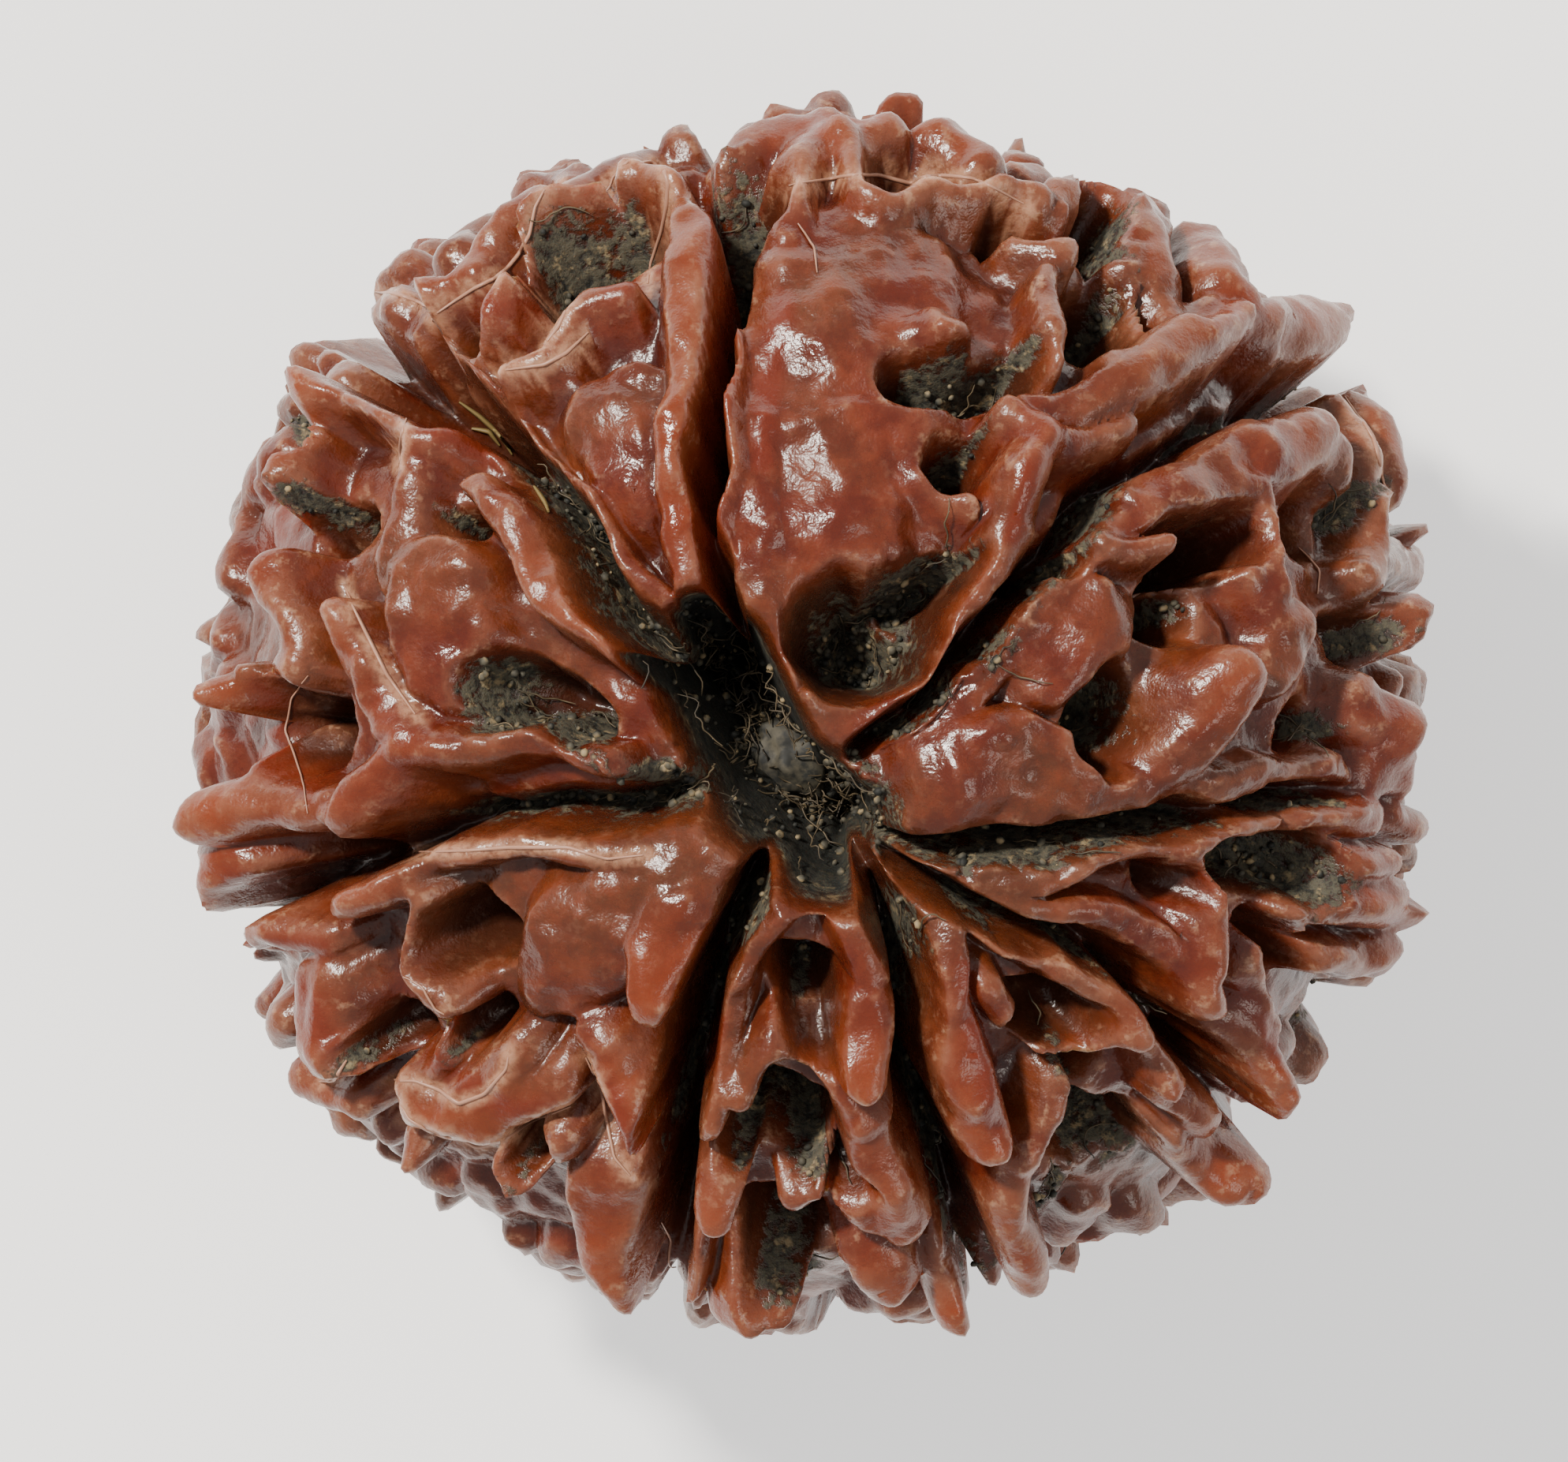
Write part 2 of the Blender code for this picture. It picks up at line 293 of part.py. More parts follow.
# Pits and hollows of the crown: x, y, depth, half width
SUNK = {
    # Face 1, between seams 1 and 2, broad and smooth
    "face_1_cleft": [(1.9, 6.5, 2.02, 0.72), (2.8, 6.7, 1.86, 0.59), (4.1, 6.7, 1.55, 0.65)],
    "face_1_cleft_low": [(2.8, 5, 1.86, 0.78), (3.3, 5.2, 1.71, 0.65)],
    "face_1_well": [(0.7, 1.8, 2.33, 1.17), (1.4, 1.6, 2.63, 1.3), (2.6, 2.9, 1.86, 0.85)],
    "face_1_notch": [(-1.1, 9.7, 2.94, 0.98)],
    "face_1_right_well": [(5.8, 8.1, 2.48, 0.85), (5.9, 7.5, 2.17, 0.78)],
    "face_1_right_pit": [(5.5, 9.7, 1.86, 0.65), (5.8, 9.2, 1.55, 0.52)],
    "face_1_small_pit": [(3.9, 9.4, 1.4, 0.45), (4.4, 9.1, 1.4, 0.45)],
    "face_1_top_hollow": [(2, 11.1, 1.08, 0.91)],
    # Face 2, between seams 2 and 3
    "face_2_well_1": [(10, 3.8, 2.94, 0.78)],
    "face_2_well_2": [(7.3, 3.3, 2.33, 0.78), (8.4, 3.5, 2.48, 0.78)],
    "face_2_well_3": [(7.3, 2.1, 2.17, 0.78)],
    "face_2_well_4": [(10.9, 1.7, 2.02, 0.72)],
    "face_2_well_5": [(5.7, -0.5, 1.86, 0.78), (6.2, 0.4, 2.02, 0.91)],
    "face_2_well_6": [(9.9, -0.1, 1.4, 0.65)],
    "face_2_scar": [(5, 3, 1.4, 0.52)],
    # Face 3, between seams 3 and 4, narrow
    "face_3_notch": [(7.9, -7.1, 1.86, 0.45), (8.6, -8.1, 2.79, 0.59)],
    "face_3_well": [(8.6, -3, 1.71, 0.65), (9.6, -2.9, 2.02, 0.72)],
    "face_3_well_low": [(8.9, -4.3, 1.55, 0.65), (9.3, -5, 1.55, 0.52)],
    "face_3_gap": [(7.2, -3.2, 0.93, 0.65)],
    "face_3_gap_side": [(10.9, -3.2, 1.55, 0.39), (12, -3.1, 1.86, 0.33)],
    # Face 4, between seams 4 and 5
    "face_4_well": [(4.2, -5.8, 1.71, 0.65), (5.1, -5.8, 1.71, 0.65)],
    "face_4_well_low": [(5.8, -8.4, 2.79, 1.04), (5, -8.1, 2.17, 0.78)],
    "face_4_well_mid": [(5.6, -7, 2.02, 0.65)],
    # Face 5, between seams 5 and 6
    "face_5_well": [(0, -5.3, 1.55, 0.78), (0.3, -6.1, 1.24, 0.52)],
    "face_5_well_mid": [(-0.9, -7.8, 2.48, 0.78), (0, -8.1, 2.33, 0.78)],
    "face_5_well_low": [(-0.5, -10, 2.94, 1.04), (0.3, -10.3, 2.48, 0.78)],
    "face_5_well_side": [(0.9, -8.6, 1.71, 0.52)],
    # Face 6, between seams 6 and 7, broad
    "face_6_well": [(-6.6, -4.2, 2.02, 0.91)],
    "face_6_well_small": [(-6.3, -6, 1.55, 0.65)],
    "face_6_well_side": [(-7.9, -6.1, 2.48, 0.59)],
    "face_6_well_low": [(-4.9, -7.9, 2.48, 0.65)],
    "face_6_well_far": [(-9.7, -2.9, 2.17, 0.65)],
    # Face 7, between seams 7 and 8, broad
    "face_7_well_1": [(-6.6, 3.9, 1.71, 0.52)],
    "face_7_well_2": [(-9.6, 3.6, 1.86, 0.52), (-9, 3.9, 2.02, 0.52)],
    "face_7_well_3": [(-9.6, 5.7, 1.4, 0.45), (-9.4, 5, 1.4, 0.45)],
    "face_7_well_4": [(-5.7, 0.7, 1.71, 0.91), (-4.5, -0.1, 1.4, 0.65)],
    "face_7_hollow": [(-9.9, -0.2, 1.4, 1.17)],
    # Face 8, between seams 8 and 1, narrow
    "face_8_well": [(-4.8, 8.5, 2.33, 0.78), (-4.1, 9.1, 2.79, 0.98), (-3.4, 9.4, 2.17, 0.72)],
    "face_8_notch": [(-6.9, 6, 1.55, 0.65), (-7.3, 6.4, 2.63, 1.04), (-8.2, 7.2, 2.94, 1.43)],
    "face_8_dent": [(-6.5, 7.5, 1.24, 0.91)],
}


def smooth(x):
    """0 below 0, 1 above 1, and an even slope between."""
    x = np.clip(x, 0.0, 1.0)
    return x * x * (3.0 - 2.0 * x)


def skin_radius(polar):
    """Distance from the bead's middle to its even skin, at an angle down from the upper pole."""
    wide = np.abs(np.sin(polar) / EQUATOR_RADIUS) ** FULLNESS
    tall = np.abs(np.cos(polar) / POLE_RADIUS) ** FULLNESS
    return (wide + tall) ** (-1.0 / FULLNESS)


def skin_point(azimuth, polar):
    """Point of the even skin, in millimetres from the bead's middle."""
    radius = float(skin_radius(polar))
    ring = radius * math.sin(polar)
    return np.array([ring * math.cos(azimuth), ring * math.sin(azimuth), radius * math.cos(polar)])


def sheet_axes():
    """The sheet's x and y directions, and the direction that it faces."""
    towards = np.array([
        math.sin(SHEET_LEAN_RIGHT) * math.cos(SHEET_LEAN_BACK),
        math.sin(SHEET_LEAN_BACK),
        math.cos(SHEET_LEAN_RIGHT) * math.cos(SHEET_LEAN_BACK),
    ])
    right = np.array([math.cos(SHEET_LEAN_RIGHT), 0.0, -math.sin(SHEET_LEAN_RIGHT)])
    return right, np.cross(towards, right), towards


def skin_behind(x, y):
    """The skin point near the drawn point x, y, looking square through the sheet."""
    right, upward, towards = sheet_axes()
    flat = x * right + y * upward
    squash = 1.0 / np.array([EQUATOR_RADIUS, EQUATOR_RADIUS, POLE_RADIUS])
    a = np.sum((squash * towards) ** 2)
    b = np.sum(squash * flat * squash * towards)
    c = np.sum((squash * flat) ** 2) - 1.0
    reach = (-b + math.sqrt(max(b * b - a * c, 0.0))) / a
    return skin_point(*direction_angles(flat + reach * towards))


def push_directions(points):
    """Which way raised parts grow at each point: outwards, leaning from the poles half-way down."""
    outward = points / np.linalg.norm(points, axis=1)[:, None]
    level = points * (1.0, 1.0, 0.0) / np.hypot(points[:, 0], points[:, 1])[:, None]
    polar = np.arccos(outward[:, 2])
    push = outward + LEAN * level * np.abs(np.sin(2.0 * polar))[:, None]
    return push / np.linalg.norm(push, axis=1)[:, None]


def under_drawing(x, y, rise):
    """The skin point whose form of this height has its top behind the drawn point x, y."""
    right, upward, _ = sheet_axes()
    wanted = np.array([float(x), float(y)])
    aim = wanted.copy()
    for _ in range(AIMING_STEPS):
        place = skin_behind(*aim)
        top = place + rise * push_directions(place[None])[0]
        aim += wanted - (top @ right, top @ upward)
    return place


def direction_angles(point):
    """Azimuth and polar angle of a point."""
    return math.atan2(point[1], point[0]), math.acos(point[2] / np.linalg.norm(point))


def seam_lines():
    """Each seam from the upper hollow, over the drawn crown and down the side to the lower hollow."""
    draw = random.Random(UNDERSIDE_SEED)
    lines = []
    for drawn in SEAMS:
        line = [under_drawing(x, y, SEAM_BANK) for x, y in drawn]
        azimuth, polar = direction_angles(line[-1])
        start_azimuth, _ = direction_angles(line[0])
        line.insert(0, skin_point(start_azimuth, HOLLOW_POLAR))
        bend = draw.uniform(-SEAM_BEND, SEAM_BEND)
        for step in range(1, SIDE_SEAM_STEPS + 1):
            share = step / SIDE_SEAM_STEPS
            swing = bend * math.sin(share * math.pi)
            line.append(skin_point(azimuth + swing, polar + share * (math.pi - HOLLOW_POLAR - polar)))
        lines.append(line)
    return lines


def nearest_on_piece(points, start, end):
    """Distance from each point to a straight piece, and how far along the piece the nearest place is."""
    along = end - start
    length = max(float(along @ along), 1e-9)
    share = np.clip((points - start) @ along / length, 0.0, 1.0)
    return np.linalg.norm(points - start - share[:, None] * along, axis=1), share


def seam_distance(points, lines):
    """Distance from each skin point to the nearest seam, as a share of its half width and plain, and its depth."""
    nearest = np.full(len(points), 1e9)
    share = np.full(len(points), 1e9)
    depth = np.zeros(len(points))
    for line, half_width, seam_depth in zip(lines, SEAM_HALF_WIDTHS, SEAM_DEPTHS):
        for start, end in zip(line, line[1:]):
            distance = nearest_on_piece(points, start, end)[0]
            depth = np.where(distance / half_width < share, seam_depth, depth)
            nearest = np.minimum(nearest, distance)
            share = np.minimum(share, distance / half_width)
    return share, nearest, depth


def chain_height(points, chain, foot):
    """Height over each skin point of a chain of (place, rise, half width): a dome in section, with a soft foot."""
    height = np.zeros(len(points))
    middle = np.mean([node[0] for node in chain], axis=0)
    reach = max(np.linalg.norm(node[0] - middle) + node[2] for node in chain)
    near = np.flatnonzero(np.sum((points - middle) ** 2, axis=1) < reach * reach)
    pieces = list(zip(chain, chain[1:])) or [(chain[0], chain[0])]
    for (start, rise_a, width_a), (end, rise_b, width_b) in pieces:
        distance, share = nearest_on_piece(points[near], start, end)
        rise = rise_a + share * (rise_b - rise_a)
        width = width_a + share * (width_b - width_a)
        across = np.clip(distance / width, 0.0, 1.0)
        dome = np.sqrt(1.0 - across * across) * smooth(foot * (1.0 - across))
        height[near] = np.maximum(height[near], rise * dome)
    return height


def union_height(points, chains, foot):
    """Heights of many chains at once, run softly into each other."""
    total = np.zeros(len(points))
    for chain in chains:
        total += chain_height(points, chain, foot) ** JOIN_SHARPNESS
    return total ** (1.0 / JOIN_SHARPNESS)


def eased(chain):
    """The chain with more points along it, on a smooth curve through its own."""
    if len(chain) < 3:
        return chain
    ends = [chain[0]] + list(chain) + [chain[-1]]
    rows = [np.append(place, (rise, width)) for place, rise, width in ends]
    found = []
    for before, start, end, after in zip(rows, rows[1:], rows[2:], rows[3:]):
        for step in range(CURVE_STEPS):
            t = step / CURVE_STEPS
            found.append(0.5 * (
                2.0 * start + (end - before) * t + (2.0 * before - 5.0 * start + 4.0 * end - after) * t ** 2
                + (3.0 * start - before - 3.0 * end + after) * t ** 3
            ))
    found.append(rows[-1])
    return [(row[:3], row[3], row[4]) for row in found]


def raised_chains():
    """The drawn folds, knobs and tips laid on the skin, each with its top where it is drawn."""
    chains = []
    for nodes in RAISED.values():
        chains.append(eased([(under_drawing(x, y, rise), rise, width) for x, y, rise, width in nodes]))
    return chains


def sunk_chains():
    """The drawn pits laid on the skin, each with its mouth where it is drawn."""
    chains = []
    for nodes in SUNK.values():
        chains.append(eased([(under_drawing(x, y, PIT_BANK), depth, width) for x, y, depth, width in nodes]))
    return chains


def seam_azimuth(line, polar):
    """Azimuth of a seam where it is nearest to a polar angle."""
    places = [direction_angles(point) for point in line]
    return min(places, key=lambda place: abs(place[1] - polar))[0]


def horizon(azimuth):
    """Angle from the upper pole at which the sheet's view of the bead ends."""
    lean = math.sin(SHEET_LEAN_BACK) * math.sin(azimuth) + math.sin(SHEET_LEAN_RIGHT) * math.cos(azimuth)
    return math.pi / 2.0 + math.asin(lean)


def tubercle(draw, azimuth, polar, rise):
    """A knob with a short tail running down from it."""
    width = draw.uniform(*TUBERCLE_HALF_WIDTH)
    place = skin_point(azimuth, polar + draw.uniform(-ROW_SLACK, ROW_SLACK))
    tail = skin_point(azimuth + draw.uniform(-TAIL, TAIL), polar + draw.uniform(0.5 * TAIL, TAIL))
    return [(tail, TAIL_SHARE * rise, TAIL_SHARE * width), (place, rise, width)]


def side_pit(draw, azimuth, polar):
    """A short pit, longer down the bead than across it."""
    depth = draw.uniform(*SIDE_PIT_DEPTH)
    upper = skin_point(azimuth, polar - draw.uniform(0.5 * TAIL, TAIL))
    lower = skin_point(azimuth, polar + draw.uniform(0.0, TAIL))
    return [(upper, depth, SIDE_PIT_HALF_WIDTH), (lower, depth, SIDE_PIT_HALF_WIDTH)]


def fold_between(start, end):
    """A low fold that ties two tubercles together."""
    return [(start, TIE_RISE, TIE_HALF_WIDTH), (end, TIE_RISE, TIE_HALF_WIDTH)]


def side_chains(lines):
    """Tubercles, folds and pits that the sheet doesn't show, in rows down the side and underside of each face."""
    draw = random.Random(UNDERSIDE_SEED)
    raised, sunk = [], []
    for left_seam, right_seam in zip(lines, lines[1:] + lines[:1]):
        row_above = []
        for row_angle in SIDE_ROWS:
            polar = horizon(seam_azimuth(right_seam, math.pi / 2.0)) + math.radians(row_angle)
            low = seam_azimuth(right_seam, polar)
            wide = (seam_azimuth(left_seam, polar) - low) % (2.0 * math.pi)
            ring = float(skin_radius(polar)) * math.sin(polar)
            count = max(1, round(ring * wide / TUBERCLE_SPACING))
            row = []
            for place in range(count):
                azimuth = low + wide * (place + 0.5 + draw.uniform(-PLACE_SLACK, PLACE_SLACK)) / count
                rise = draw.uniform(*TUBERCLE_RISE) * min(1.0, (row_angle + ROW_START) / FULL_ROW)
                rise = RESTING_RISE if row_angle == SIDE_ROWS[-1] else rise
                raised.append(tubercle(draw, azimuth, polar, rise))
                row.append(raised[-1][-1][0])
                sunk.append(side_pit(draw, azimuth + 0.5 * wide / count, polar))
            for top in row:
                if row_above:
                    nearest = min(row_above, key=lambda other: np.linalg.norm(other - top))
                    raised.append(fold_between(nearest, top))
            for left, right in zip(row, row[1:]):
                if draw.random() < TIED_SHARE:
                    raised.append(fold_between(left, right))
            row_above = row
    return raised, sunk


def gaping_chains(lines):
    """The two seams that gape where they pass over the sheet's horizon, and a little way down the side."""
    chains = []
    for seam, depth in GAPING_SEAMS.items():
        passing = lines[seam][-SIDE_SEAM_STEPS - 1:-SIDE_SEAM_STEPS + 2]
        chains.append([(place, depth, GAPE_HALF_WIDTH) for place in passing])
    return chains


def cleft_chains():
    """Clefts between the spines where the sheet's view of the bead ends, so that its outline is broken there."""
    chains = []
    for degrees, depth in SIDE_CLEFTS:
        azimuth = math.radians(degrees)
        upper = skin_point(azimuth, horizon(azimuth) + CLEFT_TOP)
        lower = skin_point(azimuth, horizon(azimuth) + CLEFT_END)
        chains.append([(upper, depth, CLEFT_HALF_WIDTH), (lower, depth, CLEFT_HALF_WIDTH)])
    return chains


def lip_chains(lines):
    """The low broken lips that stand along both banks of each seam on the side and underside."""
    draw = random.Random(UNDERSIDE_SEED)
    raised = []
    for line in lines:
        places = [direction_angles(point) for point in line]
        for bank in (-LIP_OFFSET, LIP_OFFSET):
            lip = []
            for azimuth, polar in places[:-1]:
                if polar > LIP_POLAR:
                    ring = float(skin_radius(polar)) * math.sin(polar)
                    place = skin_point(azimuth + bank / ring, polar)
                    lip.append((place, draw.uniform(*LIP_RISE), LIP_HALF_WIDTH))
            raised.append(lip)
    return raised


def turned_blank():
    """The bead before carving: a ring turned round the string hole, with its even skin outside."""
    outline = []
    for step in range(OUTLINE_STEPS + 1):
        polar = RIM_POLAR + (math.pi - 2.0 * RIM_POLAR) * step / OUTLINE_STEPS
        radius = float(skin_radius(polar))
        outline.append((radius * math.sin(polar), 0.0, radius * math.cos(polar)))
    rim = outline[-1]
    for step in range(1, HOLE_STEPS):
        outline.append((rim[0], 0.0, rim[2] * (1.0 - 2.0 * step / HOLE_STEPS)))
    mesh = bpy.data.meshes.new("blank")
    ends = [(i, (i + 1) % len(outline)) for i in range(len(outline))]
    mesh.from_pydata(outline, ends, [])
    blank = bpy.data.objects.new("blank", mesh)
    bpy.context.scene.collection.objects.link(blank)
    screw = blank.modifiers.new("turn", "SCREW")
    screw.steps = screw.render_steps = TURNED_STEPS
    screw.use_merge_vertices = True
    screw.merge_threshold = 0.0001
    return take_mesh(blank)


def take_mesh(source):
    """The object's mesh with its modifiers applied. The object is removed."""
    graph = bpy.context.evaluated_depsgraph_get()
    mesh = bpy.data.meshes.new_from_object(source.evaluated_get(graph))
    bpy.data.objects.remove(source)
    return mesh


def wave(points):
    """The waxy skin's own slow waves."""
    return np.array([noise.fractal(Vector(point) / WAVE_LENGTH, 1.0, 2.0, 3) for point in points]) * WAVE_HEIGHT


def wandered(points):
    """The points moved about a little, so that nothing carved by them runs straight."""
    noise.seed_set(WANDER_SEED)
    large = np.array([noise.noise_vector(Vector(point) / WANDER_LENGTH) for point in points])
    small = np.array([noise.noise_vector(Vector(point) / SMALL_WANDER_LENGTH) for point in points])
    return points + WANDER * large + SMALL_WANDER * small


def hollow_depth(points):
    """How far the ends of the hole are sunk: a short slot at the top, a round hollow below."""
    slot = np.full(len(points), 1e9)
    for start, end in zip(HOLLOW_LINE, HOLLOW_LINE[1:]):
        slot = np.minimum(slot, nearest_on_piece(points[:, :2], np.array(start), np.array(end))[0])
    upper = HOLLOW_DEPTH * np.exp(-((slot / HOLLOW_HALF_WIDTH) ** 4))
    ring = np.hypot(points[:, 0], points[:, 1])
    lower = LOWER_HOLLOW_DEPTH * np.exp(-((ring / HOLLOW_HALF_WIDTH) ** 2))
    return np.where(points[:, 2] > 0.0, upper, lower)


def carve(points):
    """Moves the blank's points, in millimetres, to the finished surface."""
    ring = np.hypot(points[:, 0], points[:, 1])
    span = np.linalg.norm(points, axis=1)
    outward = points / span[:, None]
    outside = span > skin_radius(np.arccos(outward[:, 2])) - SKIN_SLACK
    lines = seam_lines()
    places = wandered(points)
    side_raised, side_sunk = side_chains(lines)
    raised = union_height(places, raised_chains() + side_raised + lip_chains(lines), FOLD_FOOT)
    breaks = gaping_chains(lines) + cleft_chains()
    sunk = union_height(places, sunk_chains() + side_sunk + breaks, PIT_FOOT)
    share, gap, depth = seam_distance(places, lines)
    open_skin = smooth((share - SEAM_CLEAR) / (1.0 - SEAM_CLEAR))
    seam = depth * (1.0 - smooth(share)) * smooth((ring - HOLE_RADIUS) / SEAM_RUN_OUT)
    seam += SHOULDER_DEPTH * (1.0 - smooth(gap / SHOULDER_HALF_WIDTH))
    near_hole = smooth((ring - HOLE_RADIUS) / HOLE_RADIUS)
    push = push_directions(points)
    shape = push * (raised * open_skin)[:, None] - outward * (sunk + seam - wave(points))[:, None]
    moved = points + shape * (near_hole * outside)[:, None]
    moved += (places - points) * (1.0, 1.0, 0.0) * (1.0 - near_hole)[:, None]
    rim_height = float(skin_radius(RIM_POLAR)) * math.cos(RIM_POLAR)
    moved[:, 2] -= hollow_depth(points) * np.clip(points[:, 2] / rim_height, -1.0, 1.0)
    return moved


def rest_on_flats(mesh):
    """Rubs the lowest tips flat in one plane and stands the bead on it, with the hole's axis on the origin."""
    shape = bmesh.new()
    shape.from_mesh(mesh)
    everything = shape.verts[:] + shape.edges[:] + shape.faces[:]
    bmesh.ops.bisect_plane(
        shape, geom=everything, dist=0.0005, plane_co=(0, 0, -MIDDLE_HEIGHT), plane_no=(0, 0, 1), clear_inner=True
    )
    rims = [edge for edge in shape.edges if edge.is_boundary]
    bmesh.ops.holes_fill(shape, edges=rims)
    bmesh.ops.triangulate(shape, faces=shape.faces[:])
    bmesh.ops.translate(shape, verts=shape.verts[:], vec=(0.0, 0.0, MIDDLE_HEIGHT))
    shape.to_mesh(mesh)
    shape.free()


def stone_material():
    """Waxed red-brown stone."""
    material = bpy.data.materials.new("waxed_stone")
    material.use_nodes = True
    shader = material.node_tree.nodes["Principled BSDF"]
    shader.inputs["Base Color"].default_value = (0.28, 0.06, 0.025, 1.0)
    shader.inputs["Roughness"].default_value = 0.35
    shader.inputs["Metallic"].default_value = 0.0
    return material


def make_bead():
    """The whole bead as one object, in metres."""
    mesh = turned_blank()
    points = np.empty(len(mesh.vertices) * 3)
    mesh.vertices.foreach_get("co", points)
    mesh.vertices.foreach_set("co", np.round(carve(points.reshape(-1, 3)), 4).ravel())
    bead = bpy.data.objects.new("carved", mesh)
    bpy.context.scene.collection.objects.link(bead)
    thin = bead.modifiers.new("fewer faces", "DECIMATE")
    thin.ratio = FINISHED_TRIANGLES / sum(len(face.vertices) - 2 for face in mesh.polygons)
    mesh = take_mesh(bead)
    rest_on_flats(mesh)
    mesh.transform(Matrix.Diagonal((MM, MM, MM, 1.0)))
    mesh.materials.append(stone_material())
    mesh.shade_smooth()
    bead = bpy.data.objects.new("rudraksha_bead", mesh)
    collection = bpy.data.collections.new("rudraksha")
    bpy.context.scene.collection.children.link(collection)
    collection.objects.link(bead)
    return bead


def main():
    for old in list(bpy.data.objects):
        bpy.data.objects.remove(old)
    make_bead()


main()
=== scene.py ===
# %% [markdown]
# # An eight-faced rudraksha bead
#
# A rudraksha bead is the dried stone of a fruit. It grows as one piece, with a deep seam between
# each two of its eight faces, and it lies here on its lower pole, with the string hole upright.
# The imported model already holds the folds, spikes, seams and pits as one solid. This script lays a
# finer skin of the same form over it, and then the finish: waxed red-brown stone, dark crumbs and
# fibres in the pits, and thin pale films of old wax along the crests.

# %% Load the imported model
import math
import random

import bmesh
import bpy
import numpy as np
from mathutils import Matrix, Vector, noise
from mathutils.bvhtree import BVHTree


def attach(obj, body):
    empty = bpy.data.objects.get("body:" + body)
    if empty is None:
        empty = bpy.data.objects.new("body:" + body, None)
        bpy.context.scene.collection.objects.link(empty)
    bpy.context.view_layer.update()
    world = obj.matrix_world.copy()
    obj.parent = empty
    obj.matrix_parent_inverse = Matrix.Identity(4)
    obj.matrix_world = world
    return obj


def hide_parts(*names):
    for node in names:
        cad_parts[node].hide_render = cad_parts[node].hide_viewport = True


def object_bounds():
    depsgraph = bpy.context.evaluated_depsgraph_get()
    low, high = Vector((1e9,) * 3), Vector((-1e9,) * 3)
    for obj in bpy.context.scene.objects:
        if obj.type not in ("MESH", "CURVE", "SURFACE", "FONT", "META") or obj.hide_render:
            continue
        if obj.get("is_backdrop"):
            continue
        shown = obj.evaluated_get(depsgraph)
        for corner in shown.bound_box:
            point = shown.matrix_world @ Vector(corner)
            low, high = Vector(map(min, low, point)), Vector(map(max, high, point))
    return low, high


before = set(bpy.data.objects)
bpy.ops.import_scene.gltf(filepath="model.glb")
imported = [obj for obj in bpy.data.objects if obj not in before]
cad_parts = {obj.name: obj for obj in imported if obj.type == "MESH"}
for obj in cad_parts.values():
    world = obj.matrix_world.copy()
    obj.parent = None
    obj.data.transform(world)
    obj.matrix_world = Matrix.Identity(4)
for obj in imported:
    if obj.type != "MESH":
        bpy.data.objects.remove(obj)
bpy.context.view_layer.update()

# %% [markdown]
# ## The sizes of the form
#
# A finer piece has to keep the form of the solid that it stands for. The safest way is to grow it
# from the same numbers: the same even skin, the same drawn folds, the same seeds. All of these are
# in millimetres from the bead's middle, and the last step brings the finished mesh to metres.

# %% Sizes, in millimetres and radians
MM = 0.001
# Driving dimensions of the bead, in millimetres
EQUATOR_RADIUS = 11.35
POLE_RADIUS = 9.3
FULLNESS = 2.25
HOLE_RADIUS = 0.5
HOLLOW_DEPTH = 4.2
HOLLOW_HALF_WIDTH = 0.95
HOLLOW_LINE = ((-1.35, 2.1), (-0.4, 0.2), (0.8, -0.9))
LOWER_HOLLOW_DEPTH = 2.2
SEAM_DEPTHS = (2.1, 1.2, 1.7, 1.5, 2.3, 2.2, 1.2, 1.7)
SHOULDER_DEPTH = 0.3
SHOULDER_HALF_WIDTH = 1.3
LEAN = 0.45
WAVE_HEIGHT = 0.22
WAVE_LENGTH = 1.8
WANDER = 0.3
WANDER_LENGTH = 1.5
SMALL_WANDER = 0.07
SMALL_WANDER_LENGTH = 0.6
MIDDLE_HEIGHT = 9.62

# The crown was drawn on a flat sheet held a little off the bead's axis, leaning back and to the right
SHEET_LEAN_BACK = math.radians(8.3)
SHEET_LEAN_RIGHT = math.radians(2.3)
SEAM_BANK = 0.5
PIT_BANK = 0.5
AIMING_STEPS = 6
CURVE_STEPS = 3

# Places down from the upper pole: the edge of the string hole, and where the seams start in the hollow
RIM_POLAR = math.asin(HOLE_RADIUS / POLE_RADIUS)
HOLLOW_POLAR = math.radians(9.0)
SKIN_SLACK = 0.05

# Seams: the bare strip at the bottom as a share of the half width, the run-out at the hole, the side's swing
SEAM_CLEAR = 0.25
SEAM_RUN_OUT = 2.2
SEAM_BEND = math.radians(7.0)
SIDE_SEAM_STEPS = 5

# The side and underside: rows of tubercles by degrees below the sheet's horizon, unevenly placed and grown
SIDE_ROWS = (8.0, 17.0, 27.0, 38.0, 49.0, 59.0, 69.0)
ROW_START = 16.0
FULL_ROW = 34.0
TUBERCLE_SPACING = 2.5
TUBERCLE_RISE = (0.8, 1.5)
TUBERCLE_HALF_WIDTH = (0.6, 0.95)
RESTING_RISE = 1.25
ROW_SLACK = math.radians(3.5)
PLACE_SLACK = 0.16
TAIL = math.radians(7.0)
TAIL_SHARE = 0.75
TIE_RISE = 0.9
TIE_HALF_WIDTH = 0.5
TIED_SHARE = 0.55
SIDE_PIT_DEPTH = (0.7, 1.4)
SIDE_PIT_HALF_WIDTH = 0.6
GAPING_SEAMS = {3: 1.0, 7: 1.8}
GAPE_HALF_WIDTH = 0.8
SIDE_CLEFTS = ((65, 0.9), (105, 0.7), (170, 0.7), (238, 1.1), (275, 0.8), (300, 1.1), (331, 1.2))
CLEFT_HALF_WIDTH = 0.95
CLEFT_TOP = math.radians(-5.0)
